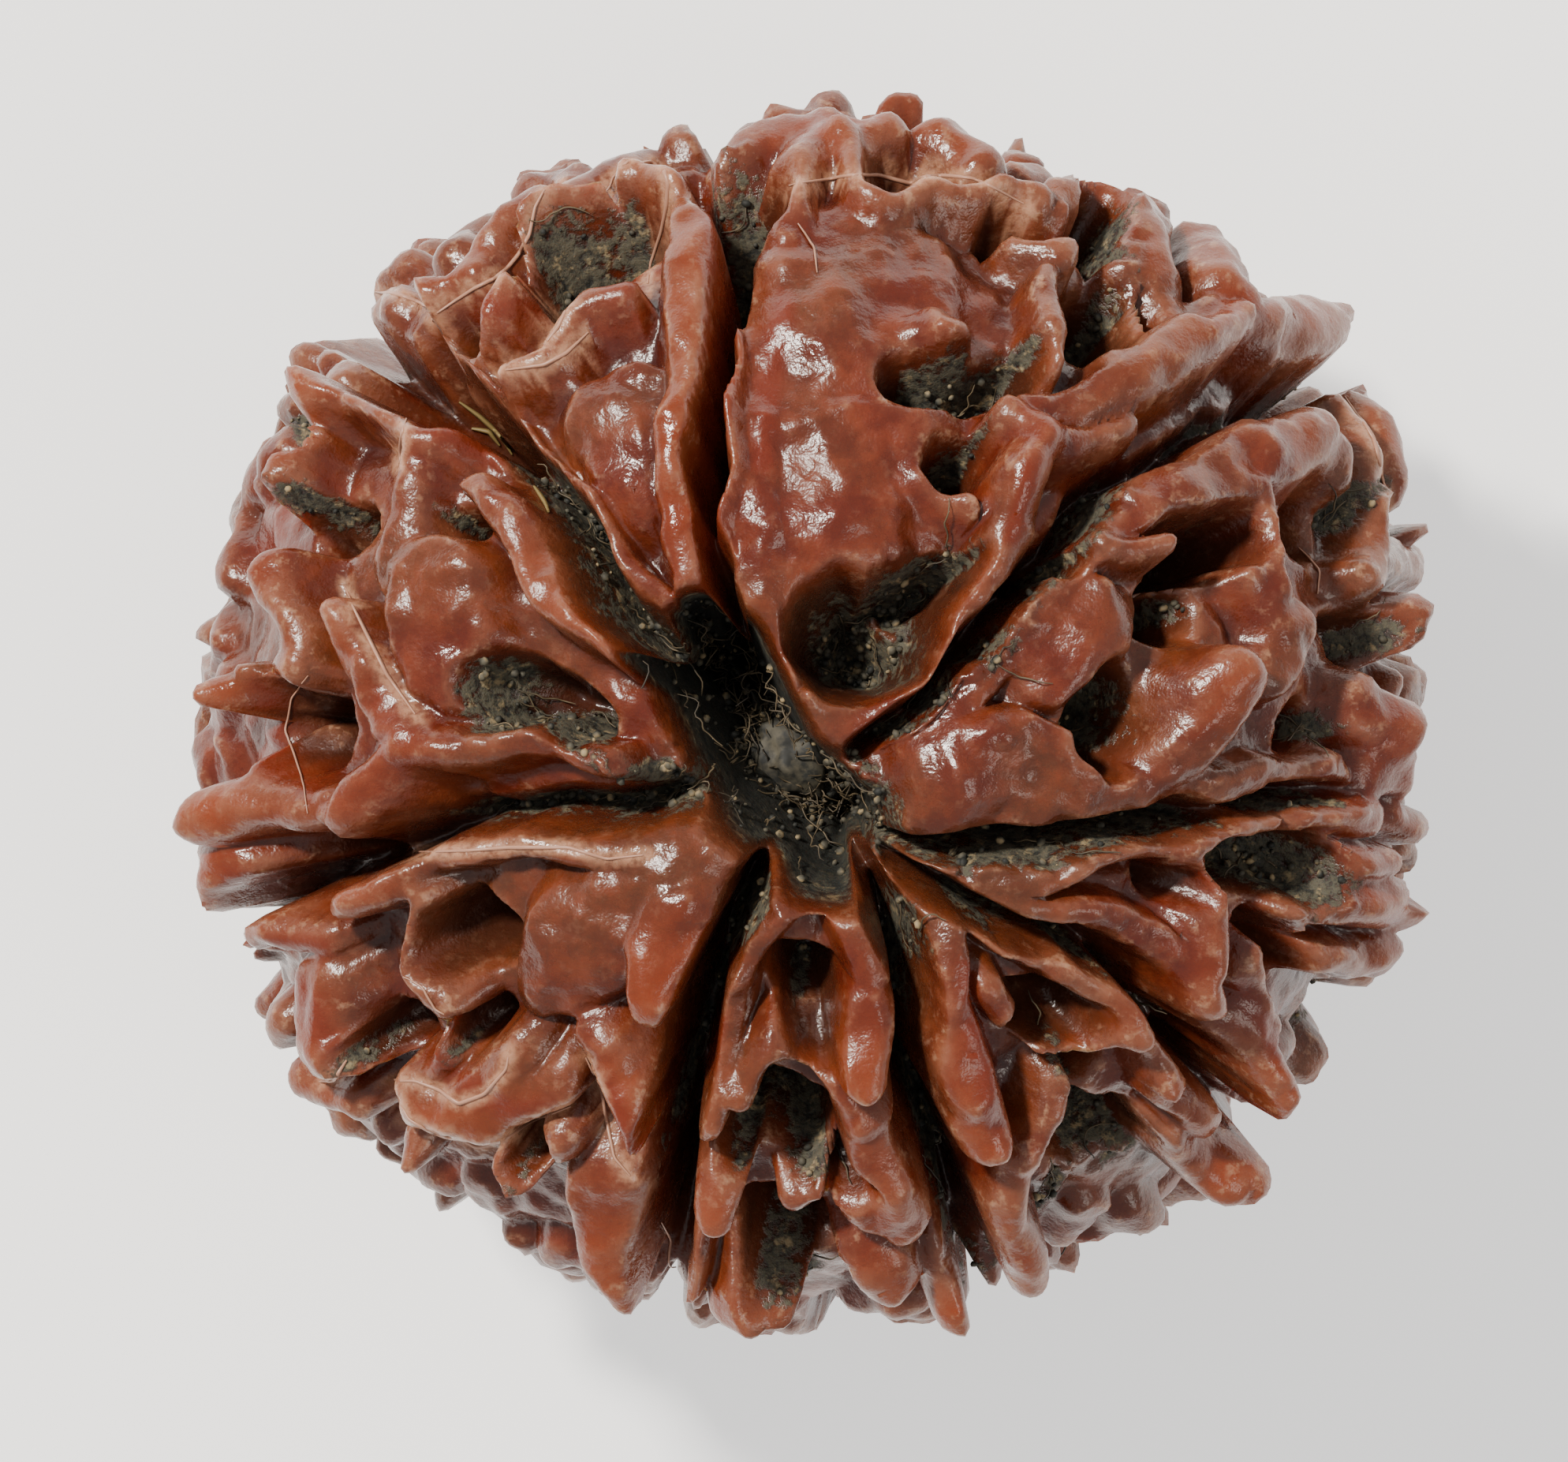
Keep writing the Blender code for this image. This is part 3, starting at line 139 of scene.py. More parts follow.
CLEFT_END = math.radians(24.0)
LIP_POLAR = math.radians(118.0)
LIP_OFFSET = 0.9
LIP_RISE = (0.5, 1.1)
LIP_HALF_WIDTH = 0.55
UNDERSIDE_SEED = 8
WANDER_SEED = 5

# How short the soft foot of a fold and of a pit is, and how sharply folds meet
FOLD_FOOT = 2.4
PIT_FOOT = 2.0
JOIN_SHARPNESS = 6.0

# %% [markdown]
# ## The drawing of the crown
#
# The folds of a real bead follow no rule, so they are drawn, as one would sketch them from
# above. Each fold is a short chain of points with a height and a half width, and each pit is a
# chain with a depth. Chains are easy to read and to correct one at a time, which a sculpted mesh
# isn't.

# %% Seams, folds and pits as drawn on the sheet
# The eight seams of the crown as drawn on the sheet, from the hollow outwards: x, y in millimetres
SEAMS = [
    [(-1.4, 1), (-1.6, 3.3), (-1.7, 5.7), (-1.4, 8), (-1.4, 9.5), (-2.3, 10.8)],
    [(1.4, -0.5), (2.5, 0.4), (3.7, 1.8), (5, 3.5), (5.9, 4.6), (7.5, 5.5), (9.2, 6.5), (11.1, 7.1)],
    [(1.7, -2.7), (2.8, -2.6), (4.4, -2.4), (5.9, -2.1), (7.5, -1.9), (9.6, -1.5), (12.3, -1.2)],
    [(2.2, -3.3), (4.2, -4.1), (5.9, -4.7), (7, -5.8), (7.9, -7.2), (9.1, -8.4)],
    [(1.4, -3.2), (2, -5.2), (2.1, -7.3), (2.7, -9.1), (3.3, -10.5), (3.8, -11.5)],
    [(-0.9, -3), (-1.5, -4.1), (-2, -5.5), (-2.4, -7.5), (-2.5, -9.1), (-2.6, -10.6), (-2.8, -11.5)],
    [(-2.6, -1.6), (-4.9, -1.9), (-7.1, -2), (-8.2, -2.6), (-9.4, -3), (-10.5, -3.9), (-11.3, -4.3)],
    [
        (-2.3, 0.7), (-3.4, 1.9), (-4.2, 3.3), (-5.1, 4.7), (-5.9, 5.5), (-6.6, 6.1), (-7.4, 6.4),
        (-8.2, 7.2), (-9, 7.6),
    ],
]
SEAM_HALF_WIDTHS = (0.34, 0.36, 0.38, 0.42, 0.5, 0.52, 0.48, 0.52)

# Folds, knobs and tips of the crown on the same sheet, each a chain of points: x, y, rise, half width
RAISED = {
    # Face 1, between seams 1 and 2, broad and smooth
    "face_1_seam_shoulder": [
        (-0.5, 0.2, 0.5, 0.78), (-1.1, 1.8, 0.7, 0.91), (-1.2, 4.1, 0.8, 1.04), (-1.3, 6.1, 0.8, 1.04),
        (-0.9, 8, 0.7, 1.04), (-0.1, 9.2, 0.6, 0.91),
    ],
    "face_1_swell_middle": [(1, 8.9, 0.7, 2.86), (0.5, 5.5, 0.6, 2.47), (-0.1, 3.3, 0.5, 1.82)],
    "face_1_knob": [(2.5, 7.7, 1.2, 1.17), (1.6, 7.2, 0.6, 0.65)],
    "face_1_thin_fold": [(1.9, 4.8, 0.5, 0.39), (3.2, 4.3, 0.8, 0.39)],
    "face_1_bar_low": [(1.7, 2.1, 0.7, 0.52), (2.7, 1.8, 1, 0.72), (3.4, 2.4, 1, 0.65)],
    "face_1_edge": [
        (4.7, 5.5, 1.1, 0.65), (4.2, 4.1, 1.1, 0.72), (3.6, 2.7, 1.1, 0.65), (3.2, 1.3, 1, 0.65),
        (2.5, 0.4, 0.9, 0.65), (1.4, -0.2, 0.6, 0.65), (0.3, 0.1, 0.5, 0.59),
    ],
    "face_1_edge_branch": [(4.2, 4.3, 1.1, 0.52), (4.8, 5.3, 1.2, 0.52), (4.1, 6.1, 1.1, 0.45)],
    "face_1_brow": [(-0.3, 9.5, 0.9, 0.65), (-0.3, 10.8, 1.3, 0.78), (0.4, 11.8, 1.4, 0.78)],
    "face_1_brow_wave": [
        (0.5, 11.5, 1.5, 0.45), (1, 10.5, 1.3, 0.39), (1.7, 10.2, 1.2, 0.39), (2.7, 10.5, 1.3, 0.39),
        (3.3, 10.3, 1.2, 0.39), (4.2, 10.4, 1.3, 0.45), (5, 10, 1.1, 0.39),
    ],
    "face_1_crest_left": [(0.7, 11.3, 1.3, 0.78), (1.4, 11.8, 1.6, 0.91)],
    "face_1_crest_tip": [(1.9, 12.3, 1.5, 0.78)],
    "face_1_crest_right": [(2.8, 11.7, 1.6, 1.04), (3.4, 11.1, 1.4, 0.78)],
    "face_1_back_bump": [(4.4, 10.8, 0.9, 0.78)],
    "face_1_far_left": [(-2.1, 10.7, 1, 0.65), (-1.1, 11.5, 1.3, 0.91), (-0.5, 11.7, 1.3, 0.65)],
    "face_1_bar_tall": [(4.8, 8.8, 1.1, 0.45), (4.9, 7.1, 1.1, 0.52)],
    "face_1_bar_upper": [(4.2, 9.5, 1, 0.45), (5.1, 9.2, 1.2, 0.52)],
    "face_1_right_cap": [
        (5.1, 10.5, 1.3, 0.78), (6.5, 10.4, 1.5, 1.04), (7, 9.2, 1.3, 0.78), (7.2, 8.3, 1, 0.52),
    ],
    "face_1_right_cap_in": [(6.4, 8.9, 1, 0.52), (6.5, 7.7, 0.9, 0.52)],
    "face_1_far_right": [(8, 9.6, 1.5, 0.91), (8.4, 8.6, 1.5, 0.78)],
    "face_1_blade_right": [(6.4, 6.9, 1.1, 0.65), (7.5, 7.5, 1.3, 0.59), (8.6, 7.9, 1.5, 0.52)],
    "face_1_blade_low": [
        (4.5, 6.1, 1, 0.52), (5.6, 6.3, 1, 0.59), (6.5, 6.7, 1.2, 0.65), (7.8, 7.4, 1.3, 0.65),
        (8.4, 7.6, 1.4, 0.52),
    ],
    "face_1_edge_out": [(4.8, 5.3, 1.1, 0.45), (6.5, 5.7, 0.9, 0.52)],
    # Face 2, between seams 2 and 3
    "face_2_edge": [
        (2.4, -0.7, 0.5, 0.65), (4.2, 1.6, 0.7, 0.59), (5.8, 3.5, 0.9, 0.65), (7.3, 4.7, 0.9, 0.59),
        (8.9, 5.5, 1, 0.65),
    ],
    "face_2_bar_out": [(7.5, 7.9, 1, 0.52), (9, 8, 1.4, 0.78), (10.9, 8, 2.2, 0.78)],
    "face_2_bar_tip": [(9.3, 7.5, 1.2, 0.65), (11, 7.4, 1.9, 0.65)],
    "face_2_cap": [(9.3, 5.2, 1.1, 0.78), (10.3, 5.7, 1.3, 1.17), (10.6, 5, 1.1, 0.78)],
    "face_2_rim": [
        (10.4, 6.6, 1.2, 0.45), (11.1, 5.5, 1.3, 0.52), (11.5, 4.1, 1.3, 0.52), (11.3, 2.9, 1.2, 0.52),
    ],
    "face_2_shelf": [
        (7.5, 4.4, 0.9, 0.78), (8.9, 4.6, 0.9, 0.65), (9.2, 3.5, 0.9, 0.45), (9.3, 2.7, 0.9, 0.45),
    ],
    "face_2_blade_in": [(5.9, 3.3, 0.9, 0.39), (7, 3.3, 1.1, 0.39)],
    "face_2_swell": [(5.8, 1.9, 0.8, 1.3), (4.7, 0.9, 0.7, 0.78)],
    "face_2_swell_low": [(3.3, -1.2, 0.8, 1.43), (4.4, -0.5, 0.8, 0.91), (5.6, -1.2, 0.7, 0.91)],
    "face_2_horn": [(7.3, -0.9, 0.9, 0.78), (8.2, 0.1, 1.3, 0.78), (8.6, 0.9, 1.6, 0.78)],
    "face_2_edge_low": [
        (2.5, -2, 0.6, 0.78), (4.4, -1.7, 0.7, 0.78), (6.7, -1.5, 0.8, 0.78), (9, -1.2, 0.8, 0.65),
        (10.6, -1.1, 0.9, 0.65),
    ],
    "face_2_bridge": [(9, 2.7, 0.9, 0.65), (9.6, 1.8, 0.9, 0.78), (9.2, 0.9, 0.8, 0.65)],
    "face_2_tip_1": [(11.8, 4.1, 1.2, 0.65), (12.3, 4.2, 1.6, 0.59)],
    "face_2_tip_2": [(11.5, 3.2, 1.1, 0.78), (12, 3.1, 1.2, 0.78)],
    "face_2_tip_3": [(11.6, 1.9, 1.2, 0.78), (12.3, 2, 1.6, 0.72)],
    "face_2_tip_4": [(11.2, 0.2, 1, 0.91), (12, -0.2, 1.5, 1.04)],
    "face_2_tip_5": [(11.3, -1.1, 1.1, 0.78), (12.1, -1.1, 1.5, 0.72)],
    "face_2_side": [(11, 6.7, 1.7, 0.78), (11.6, 5.5, 1.8, 0.78), (11.8, 4.6, 1.6, 0.65)],
    # Face 3, between seams 3 and 4, narrow
    "face_3_edge": [
        (2.7, -3, 0.5, 0.52), (4.8, -3, 0.9, 0.52), (6.7, -2.5, 1, 0.52), (8.6, -2.1, 1, 0.52),
        (9.6, -2, 1, 0.45),
    ],
    "face_3_edge_low": [
        (3.3, -3.4, 0.5, 0.45), (5, -3.9, 0.9, 0.59), (6.4, -4.3, 0.9, 0.52), (7.3, -4.8, 0.9, 0.45),
    ],
    "face_3_fork": [
        (7.5, -2.5, 0.9, 0.45), (7.9, -3.6, 1, 0.52), (7.9, -4.6, 1.2, 0.59), (8.2, -5.6, 1.6, 0.52),
    ],
    "face_3_bar_1": [(10.3, -1.9, 1.2, 0.65), (12.3, -2, 1.5, 0.65)],
    "face_3_bar_2": [(10.3, -2.8, 1.2, 0.52), (11.5, -2.9, 1.4, 0.52)],
    "face_3_bar_3": [(10.1, -3.6, 1.2, 0.59), (12.1, -3.8, 1.8, 0.78)],
    "face_3_bar_4": [(10.1, -4.8, 1.1, 0.59), (11.5, -4.8, 1.6, 0.72)],
    "face_3_rim": [(9.6, -4.3, 1, 0.45), (9.9, -3.5, 1.1, 0.39), (10.4, -2.8, 1.1, 0.45)],
    "face_3_fang": [(8.4, -6, 1.1, 0.78), (9, -6.7, 1.5, 0.78), (9.6, -7.7, 2.2, 0.78)],
    "face_3_fang_back": [(8.7, -4.9, 1, 0.65), (9.3, -6, 1.2, 0.52)],
    # Face 4, between seams 4 and 5
    "face_4_blade": [
        (2.7, -3.9, 0.7, 0.59), (2.8, -5.2, 1.1, 0.65), (3.2, -7, 1.4, 0.72), (3.7, -8.5, 1.8, 0.65),
    ],
    "face_4_edge": [
        (3, -3.9, 0.7, 0.45), (4.2, -4.4, 0.9, 0.52), (5.5, -5.1, 1, 0.52), (6.6, -6.2, 1.4, 0.52),
    ],
    "face_4_step_1": [(5.9, -5.2, 1, 0.45), (6.8, -6, 1.1, 0.45), (7.5, -7.3, 1.6, 0.52)],
    "face_4_step_2": [(7.2, -7.4, 1.2, 0.45), (8.1, -8.1, 1.6, 0.52)],
    "face_4_fang": [(7.3, -8.3, 1.2, 0.65), (8.2, -8.9, 1.6, 0.78), (9, -9.4, 2.4, 0.78)],
    "face_4_rib": [(3.7, -5.3, 0.9, 0.52), (4.7, -6.4, 0.9, 0.52), (6.2, -6.1, 1, 0.45)],
    "face_4_rib_low": [(4.2, -8.8, 1.3, 0.59), (4.1, -10.3, 1.5, 0.65), (4.6, -11.2, 1.8, 0.65)],
    "face_4_rib_mid": [(5, -7.4, 1, 0.52), (4.5, -8.6, 1.2, 0.52)],
    # Face 5, between seams 5 and 6
    "face_5_crown": [
        (-0.1, -3.6, 0.8, 0.65), (0.7, -3.4, 0.9, 0.78), (1.3, -3.9, 1, 0.78), (1.3, -5, 1, 0.65),
    ],
    "face_5_left": [
        (-0.3, -3.8, 0.8, 0.65), (-1.3, -4.9, 0.9, 0.65), (-1.9, -6.6, 1.1, 0.72), (-2, -8.1, 1.4, 0.65),
    ],
    "face_5_drop": [(1.2, -6, 1.2, 0.78), (1.3, -7.2, 1.8, 0.65)],
    "face_5_arch": [
        (-1.3, -7.5, 1.2, 0.52), (-0.9, -6.7, 1.1, 0.52), (-0.1, -6.5, 1, 0.52), (0.6, -7, 1.1, 0.52),
        (1.1, -7.8, 1.2, 0.59),
    ],
    "face_5_right": [(1.4, -8, 1.3, 0.65), (1.7, -9.1, 1.4, 0.78), (2, -10, 1.5, 0.65)],
    "face_5_left_fang": [(-1.4, -8.8, 1.2, 0.65), (-1.8, -10.1, 2, 0.59)],
    "face_5_low_arch": [
        (-0.1, -9.4, 1.1, 0.45), (0.7, -9.2, 1.2, 0.45), (1.3, -10, 1.3, 0.45), (2, -10.3, 1.4, 0.52),
    ],
    "face_5_low_fang": [(-0.4, -11.2, 1.4, 0.91), (-1.1, -11.8, 1.8, 1.04)],
    "face_5_low_stub": [(1.1, -10.6, 1.3, 0.65), (1.7, -11.2, 1.6, 0.91)],
    "face_5_low_tip": [(2.7, -10.6, 1.2, 0.52), (2.9, -11.2, 1.5, 0.65), (3.2, -12.3, 2.3, 0.72)],
    # Face 6, between seams 6 and 7, broad
    "face_6_edge": [
        (-1.5, -2.6, 0.8, 0.59), (-3.4, -2.6, 0.9, 0.52), (-5.2, -2.6, 0.9, 0.52),
        (-6.9, -2.6, 0.9, 0.52), (-8.2, -3, 1, 0.52),
    ],
    "face_6_left_fang": [(-8, -3.2, 1.1, 0.65), (-9.3, -3.7, 1.7, 0.59)],
    "face_6_swell": [(-2.3, -3.5, 0.9, 1.17), (-4.3, -4.3, 0.9, 1.56), (-4.9, -5.2, 0.8, 1.3)],
    "face_6_drop": [(-2.4, -4.1, 1.2, 1.04), (-2.8, -5.5, 1.8, 1.04)],
    "face_6_fang": [(-4.2, -6.4, 1.1, 0.65), (-3.7, -7.2, 1.5, 0.78), (-3.2, -8.8, 2.2, 0.59)],
    "face_6_lip": [
        (-7.8, -7.2, 1.3, 0.52), (-7.3, -7.7, 1.4, 0.59), (-6.6, -7.5, 1.3, 0.59), (-5.9, -7, 1.3, 0.59),
        (-5.5, -6.4, 1.1, 0.52),
    ],
    "face_6_lip_low": [(-7.6, -7.8, 1.4, 0.65), (-6.5, -8.1, 1.5, 0.65), (-4.9, -7.2, 1.2, 0.65)],
    "face_6_rib": [(-7.7, -3.5, 1, 0.52), (-7.4, -5, 1, 0.52), (-6.8, -6, 1, 0.52), (-7.3, -7, 1, 0.52)],
    "face_6_side_1": [(-9.6, -4.4, 1.2, 0.65), (-10.9, -4.4, 1.6, 0.65)],
    "face_6_side_2": [(-9.6, -5.5, 1.3, 1.04), (-9.7, -6.4, 1.6, 0.91), (-9.1, -6.9, 1.8, 0.52)],
    "face_6_side_3": [(-10.5, -6.1, 1.2, 0.78)],
    "face_6_side_4": [(-9, -7.5, 1.3, 0.65), (-10, -7.3, 1.6, 0.65)],
    "face_6_side_5": [(-7.6, -8.3, 1.2, 0.45), (-7.6, -8.7, 1.5, 0.39)],
    "face_6_side_6": [(-4.6, -8.3, 1.2, 0.65), (-5.7, -8.9, 1.6, 0.72)],
    "face_6_cone": [(-3.8, -9.5, 1.3, 1.3), (-3.7, -10.6, 1.6, 1.17), (-3.6, -11.5, 2, 0.91)],
    "face_6_low_tip": [(-2.4, -10.5, 1.2, 0.52), (-2.4, -11.5, 1.8, 0.52)],
    # Face 7, between seams 7 and 8, broad
    "face_7_finger": [
        (-6.4, 4.6, 1, 0.45), (-5.7, 3.6, 1.2, 0.55), (-4.6, 2.3, 1.4, 0.59), (-3.4, 1.2, 2, 0.57),
        (-2.6, 0.5, 2.7, 0.55), (-2.1, 0.1, 3.2, 0.44),
    ],
    "face_7_edge": [
        (-9.2, -2.1, 1.3, 0.65), (-8, -0.9, 1.2, 0.65), (-6.2, -0.5, 1, 0.52), (-3.8, -0.8, 1.1, 0.45),
    ],
    "face_7_horn": [
        (-9.3, 2.2, 1.6, 0.52), (-9, 1.3, 1.3, 0.65), (-8.3, 0.1, 1.1, 0.65), (-7.1, -0.7, 1, 0.65),
    ],
    "face_7_swell": [(-7.4, 2.7, 1.1, 1.3), (-7.1, 1.3, 0.9, 1.56)],
    "face_7_neck": [(-7.6, 5.5, 1, 0.52), (-7.7, 4.3, 0.9, 0.65), (-8, 3, 0.9, 0.78)],
    "face_7_top": [(-10, 6.9, 2, 0.91), (-9.1, 6.6, 1.4, 0.78), (-7.4, 5.7, 1.1, 0.65)],
    "face_7_top_side": [(-10.2, 5.5, 1.5, 0.78), (-10.4, 4.3, 1.5, 0.65)],
    "face_7_side": [
        (-10.5, 3, 1.4, 0.65), (-10, 1.8, 1.2, 0.45), (-10.3, 0.9, 1.3, 0.45), (-11.1, 0.4, 1.4, 0.45),
    ],
    "face_7_tip": [(-11.1, 0.7, 1.3, 0.65), (-11.9, 0.5, 2, 0.59)],
    "face_7_rim": [(-10.7, -0.7, 1.2, 0.65), (-10.7, -1.8, 1.2, 0.65)],
    "face_7_knuckle": [(-9.6, -1.8, 1.2, 0.59), (-10.8, -1.9, 1.5, 0.65), (-12.1, -2, 2.2, 0.78)],
    "face_7_knuckle_low": [(-11.6, -3, 1.6, 1.04), (-11.7, -4.1, 1.9, 0.91)],
    # Face 8, between seams 8 and 1, narrow
    "face_8_fold": [
        (-2.1, 10.3, 1.3, 0.78), (-2.1, 8.8, 1.5, 0.98), (-2.1, 6.4, 1.6, 1.04), (-2.2, 4.1, 1.5, 0.98),
        (-2, 1.9, 1.1, 0.72),
    ],
    "face_8_edge": [
        (-8.3, 8.2, 2, 0.65), (-7.3, 6.9, 1.4, 0.65), (-6, 5.7, 1.2, 0.52), (-4.5, 4.4, 1, 0.45),
        (-3.5, 3.1, 0.9, 0.45), (-2.6, 1.8, 0.7, 0.45),
    ],
    "face_8_rim": [
        (-7.4, 7.7, 1.4, 0.45), (-6.2, 8.2, 1.4, 0.45), (-5.5, 9.2, 1.4, 0.45), (-5.1, 10.2, 1.5, 0.45),
        (-4.2, 10.5, 1.5, 0.45),
    ],
    "face_8_rim_fold": [(-3.4, 10.3, 1.3, 0.39), (-3.4, 10.8, 1.4, 0.45), (-2.6, 10.7, 1.5, 0.45)],
    "face_8_tongue": [
        (-3.4, 8.4, 1.1, 0.45), (-4.3, 8, 1.1, 0.45), (-4.9, 7.2, 1.1, 0.45), (-5.9, 6.7, 1.1, 0.45),
    ],
    "face_8_swell": [(-3.7, 6.1, 0.9, 1.43), (-3.4, 4.6, 0.8, 0.91)],
    "face_8_back": [(-6.5, 9, 1.2, 0.65), (-5.2, 10.3, 1.2, 0.52)],
    "face_8_back_tip": [(-8, 8.6, 1.8, 0.52), (-6.6, 8.9, 1.3, 0.52)],
}

# Pits and hollows of the crown: x, y, depth, half width
SUNK = {
    # Face 1, between seams 1 and 2, broad and smooth
    "face_1_cleft": [(1.9, 6.5, 2.02, 0.72), (2.8, 6.7, 1.86, 0.59), (4.1, 6.7, 1.55, 0.65)],
    "face_1_cleft_low": [(2.8, 5, 1.86, 0.78), (3.3, 5.2, 1.71, 0.65)],
    "face_1_well": [(0.7, 1.8, 2.33, 1.17), (1.4, 1.6, 2.63, 1.3), (2.6, 2.9, 1.86, 0.85)],
    "face_1_notch": [(-1.1, 9.7, 2.94, 0.98)],
    "face_1_right_well": [(5.8, 8.1, 2.48, 0.85), (5.9, 7.5, 2.17, 0.78)],
    "face_1_right_pit": [(5.5, 9.7, 1.86, 0.65), (5.8, 9.2, 1.55, 0.52)],
    "face_1_small_pit": [(3.9, 9.4, 1.4, 0.45), (4.4, 9.1, 1.4, 0.45)],
    "face_1_top_hollow": [(2, 11.1, 1.08, 0.91)],
    # Face 2, between seams 2 and 3
    "face_2_well_1": [(10, 3.8, 2.94, 0.78)],
    "face_2_well_2": [(7.3, 3.3, 2.33, 0.78), (8.4, 3.5, 2.48, 0.78)],
    "face_2_well_3": [(7.3, 2.1, 2.17, 0.78)],
    "face_2_well_4": [(10.9, 1.7, 2.02, 0.72)],
    "face_2_well_5": [(5.7, -0.5, 1.86, 0.78), (6.2, 0.4, 2.02, 0.91)],
    "face_2_well_6": [(9.9, -0.1, 1.4, 0.65)],
    "face_2_scar": [(5, 3, 1.4, 0.52)],
    # Face 3, between seams 3 and 4, narrow
    "face_3_notch": [(7.9, -7.1, 1.86, 0.45), (8.6, -8.1, 2.79, 0.59)],
    "face_3_well": [(8.6, -3, 1.71, 0.65), (9.6, -2.9, 2.02, 0.72)],
    "face_3_well_low": [(8.9, -4.3, 1.55, 0.65), (9.3, -5, 1.55, 0.52)],
    "face_3_gap": [(7.2, -3.2, 0.93, 0.65)],
    "face_3_gap_side": [(10.9, -3.2, 1.55, 0.39), (12, -3.1, 1.86, 0.33)],
    # Face 4, between seams 4 and 5
    "face_4_well": [(4.2, -5.8, 1.71, 0.65), (5.1, -5.8, 1.71, 0.65)],
    "face_4_well_low": [(5.8, -8.4, 2.79, 1.04), (5, -8.1, 2.17, 0.78)],
    "face_4_well_mid": [(5.6, -7, 2.02, 0.65)],
    # Face 5, between seams 5 and 6
    "face_5_well": [(0, -5.3, 1.55, 0.78), (0.3, -6.1, 1.24, 0.52)],
    "face_5_well_mid": [(-0.9, -7.8, 2.48, 0.78), (0, -8.1, 2.33, 0.78)],
    "face_5_well_low": [(-0.5, -10, 2.94, 1.04), (0.3, -10.3, 2.48, 0.78)],
    "face_5_well_side": [(0.9, -8.6, 1.71, 0.52)],
    # Face 6, between seams 6 and 7, broad
    "face_6_well": [(-6.6, -4.2, 2.02, 0.91)],
    "face_6_well_small": [(-6.3, -6, 1.55, 0.65)],
    "face_6_well_side": [(-7.9, -6.1, 2.48, 0.59)],
    "face_6_well_low": [(-4.9, -7.9, 2.48, 0.65)],
    "face_6_well_far": [(-9.7, -2.9, 2.17, 0.65)],
    # Face 7, between seams 7 and 8, broad
    "face_7_well_1": [(-6.6, 3.9, 1.71, 0.52)],
    "face_7_well_2": [(-9.6, 3.6, 1.86, 0.52), (-9, 3.9, 2.02, 0.52)],
    "face_7_well_3": [(-9.6, 5.7, 1.4, 0.45), (-9.4, 5, 1.4, 0.45)],
    "face_7_well_4": [(-5.7, 0.7, 1.71, 0.91), (-4.5, -0.1, 1.4, 0.65)],
    "face_7_hollow": [(-9.9, -0.2, 1.4, 1.17)],
    # Face 8, between seams 8 and 1, narrow
    "face_8_well": [(-4.8, 8.5, 2.33, 0.78), (-4.1, 9.1, 2.79, 0.98), (-3.4, 9.4, 2.17, 0.72)],
    "face_8_notch": [(-6.9, 6, 1.55, 0.65), (-7.3, 6.4, 2.63, 1.04), (-8.2, 7.2, 2.94, 1.43)],
    "face_8_dent": [(-6.5, 7.5, 1.24, 0.91)],
}
print(len(SEAMS), "seams,", len(RAISED), "folds and tips,", len(SUNK), "pits drawn")

# %% [markdown]
# ## From the drawing to the bead
#
# The sheet is flat and the bead is round, so each drawn point has to find its place. A line is run
# square through the sheet to the even skin. A tall tip hides its own foot, so the foot is moved
# until the tip's top comes to lie behind the drawn point.

# %% The even skin and the way through the sheet
def smooth(x):
    """0 below 0, 1 above 1, and an even slope between."""
    x = np.clip(x, 0.0, 1.0)
    return x * x * (3.0 - 2.0 * x)


def skin_radius(polar):
    """Distance from the bead's middle to its even skin, at an angle down from the upper pole."""
    wide = np.abs(np.sin(polar) / EQUATOR_RADIUS) ** FULLNESS
    tall = np.abs(np.cos(polar) / POLE_RADIUS) ** FULLNESS
    return (wide + tall) ** (-1.0 / FULLNESS)


def skin_point(azimuth, polar):
    """Point of the even skin, in millimetres from the bead's middle."""
    radius = float(skin_radius(polar))
    ring = radius * math.sin(polar)
    return np.array([ring * math.cos(azimuth), ring * math.sin(azimuth), radius * math.cos(polar)])


def sheet_axes():
    """The sheet's x and y directions, and the direction that it faces."""
    towards = np.array([
        math.sin(SHEET_LEAN_RIGHT) * math.cos(SHEET_LEAN_BACK),
        math.sin(SHEET_LEAN_BACK),
        math.cos(SHEET_LEAN_RIGHT) * math.cos(SHEET_LEAN_BACK),
    ])
    right = np.array([math.cos(SHEET_LEAN_RIGHT), 0.0, -math.sin(SHEET_LEAN_RIGHT)])
    return right, np.cross(towards, right), towards


def direction_angles(point):
    """Azimuth and polar angle of a point."""
    return math.atan2(point[1], point[0]), math.acos(point[2] / np.linalg.norm(point))


def skin_behind(x, y):
    """The skin point near the drawn point x, y, looking square through the sheet."""
    right, upward, towards = sheet_axes()
    flat = x * right + y * upward
    squash = 1.0 / np.array([EQUATOR_RADIUS, EQUATOR_RADIUS, POLE_RADIUS])
    a = np.sum((squash * towards) ** 2)
    b = np.sum(squash * flat * squash * towards)
    c = np.sum((squash * flat) ** 2) - 1.0
    reach = (-b + math.sqrt(max(b * b - a * c, 0.0))) / a
    return skin_point(*direction_angles(flat + reach * towards))


def push_directions(points):
    """Which way raised parts grow at each point: outwards, leaning from the poles half-way down."""
    outward = points / np.linalg.norm(points, axis=1)[:, None]
    level = points * (1.0, 1.0, 0.0) / np.hypot(points[:, 0], points[:, 1])[:, None]
    polar = np.arccos(outward[:, 2])
    push = outward + LEAN * level * np.abs(np.sin(2.0 * polar))[:, None]
    return push / np.linalg.norm(push, axis=1)[:, None]


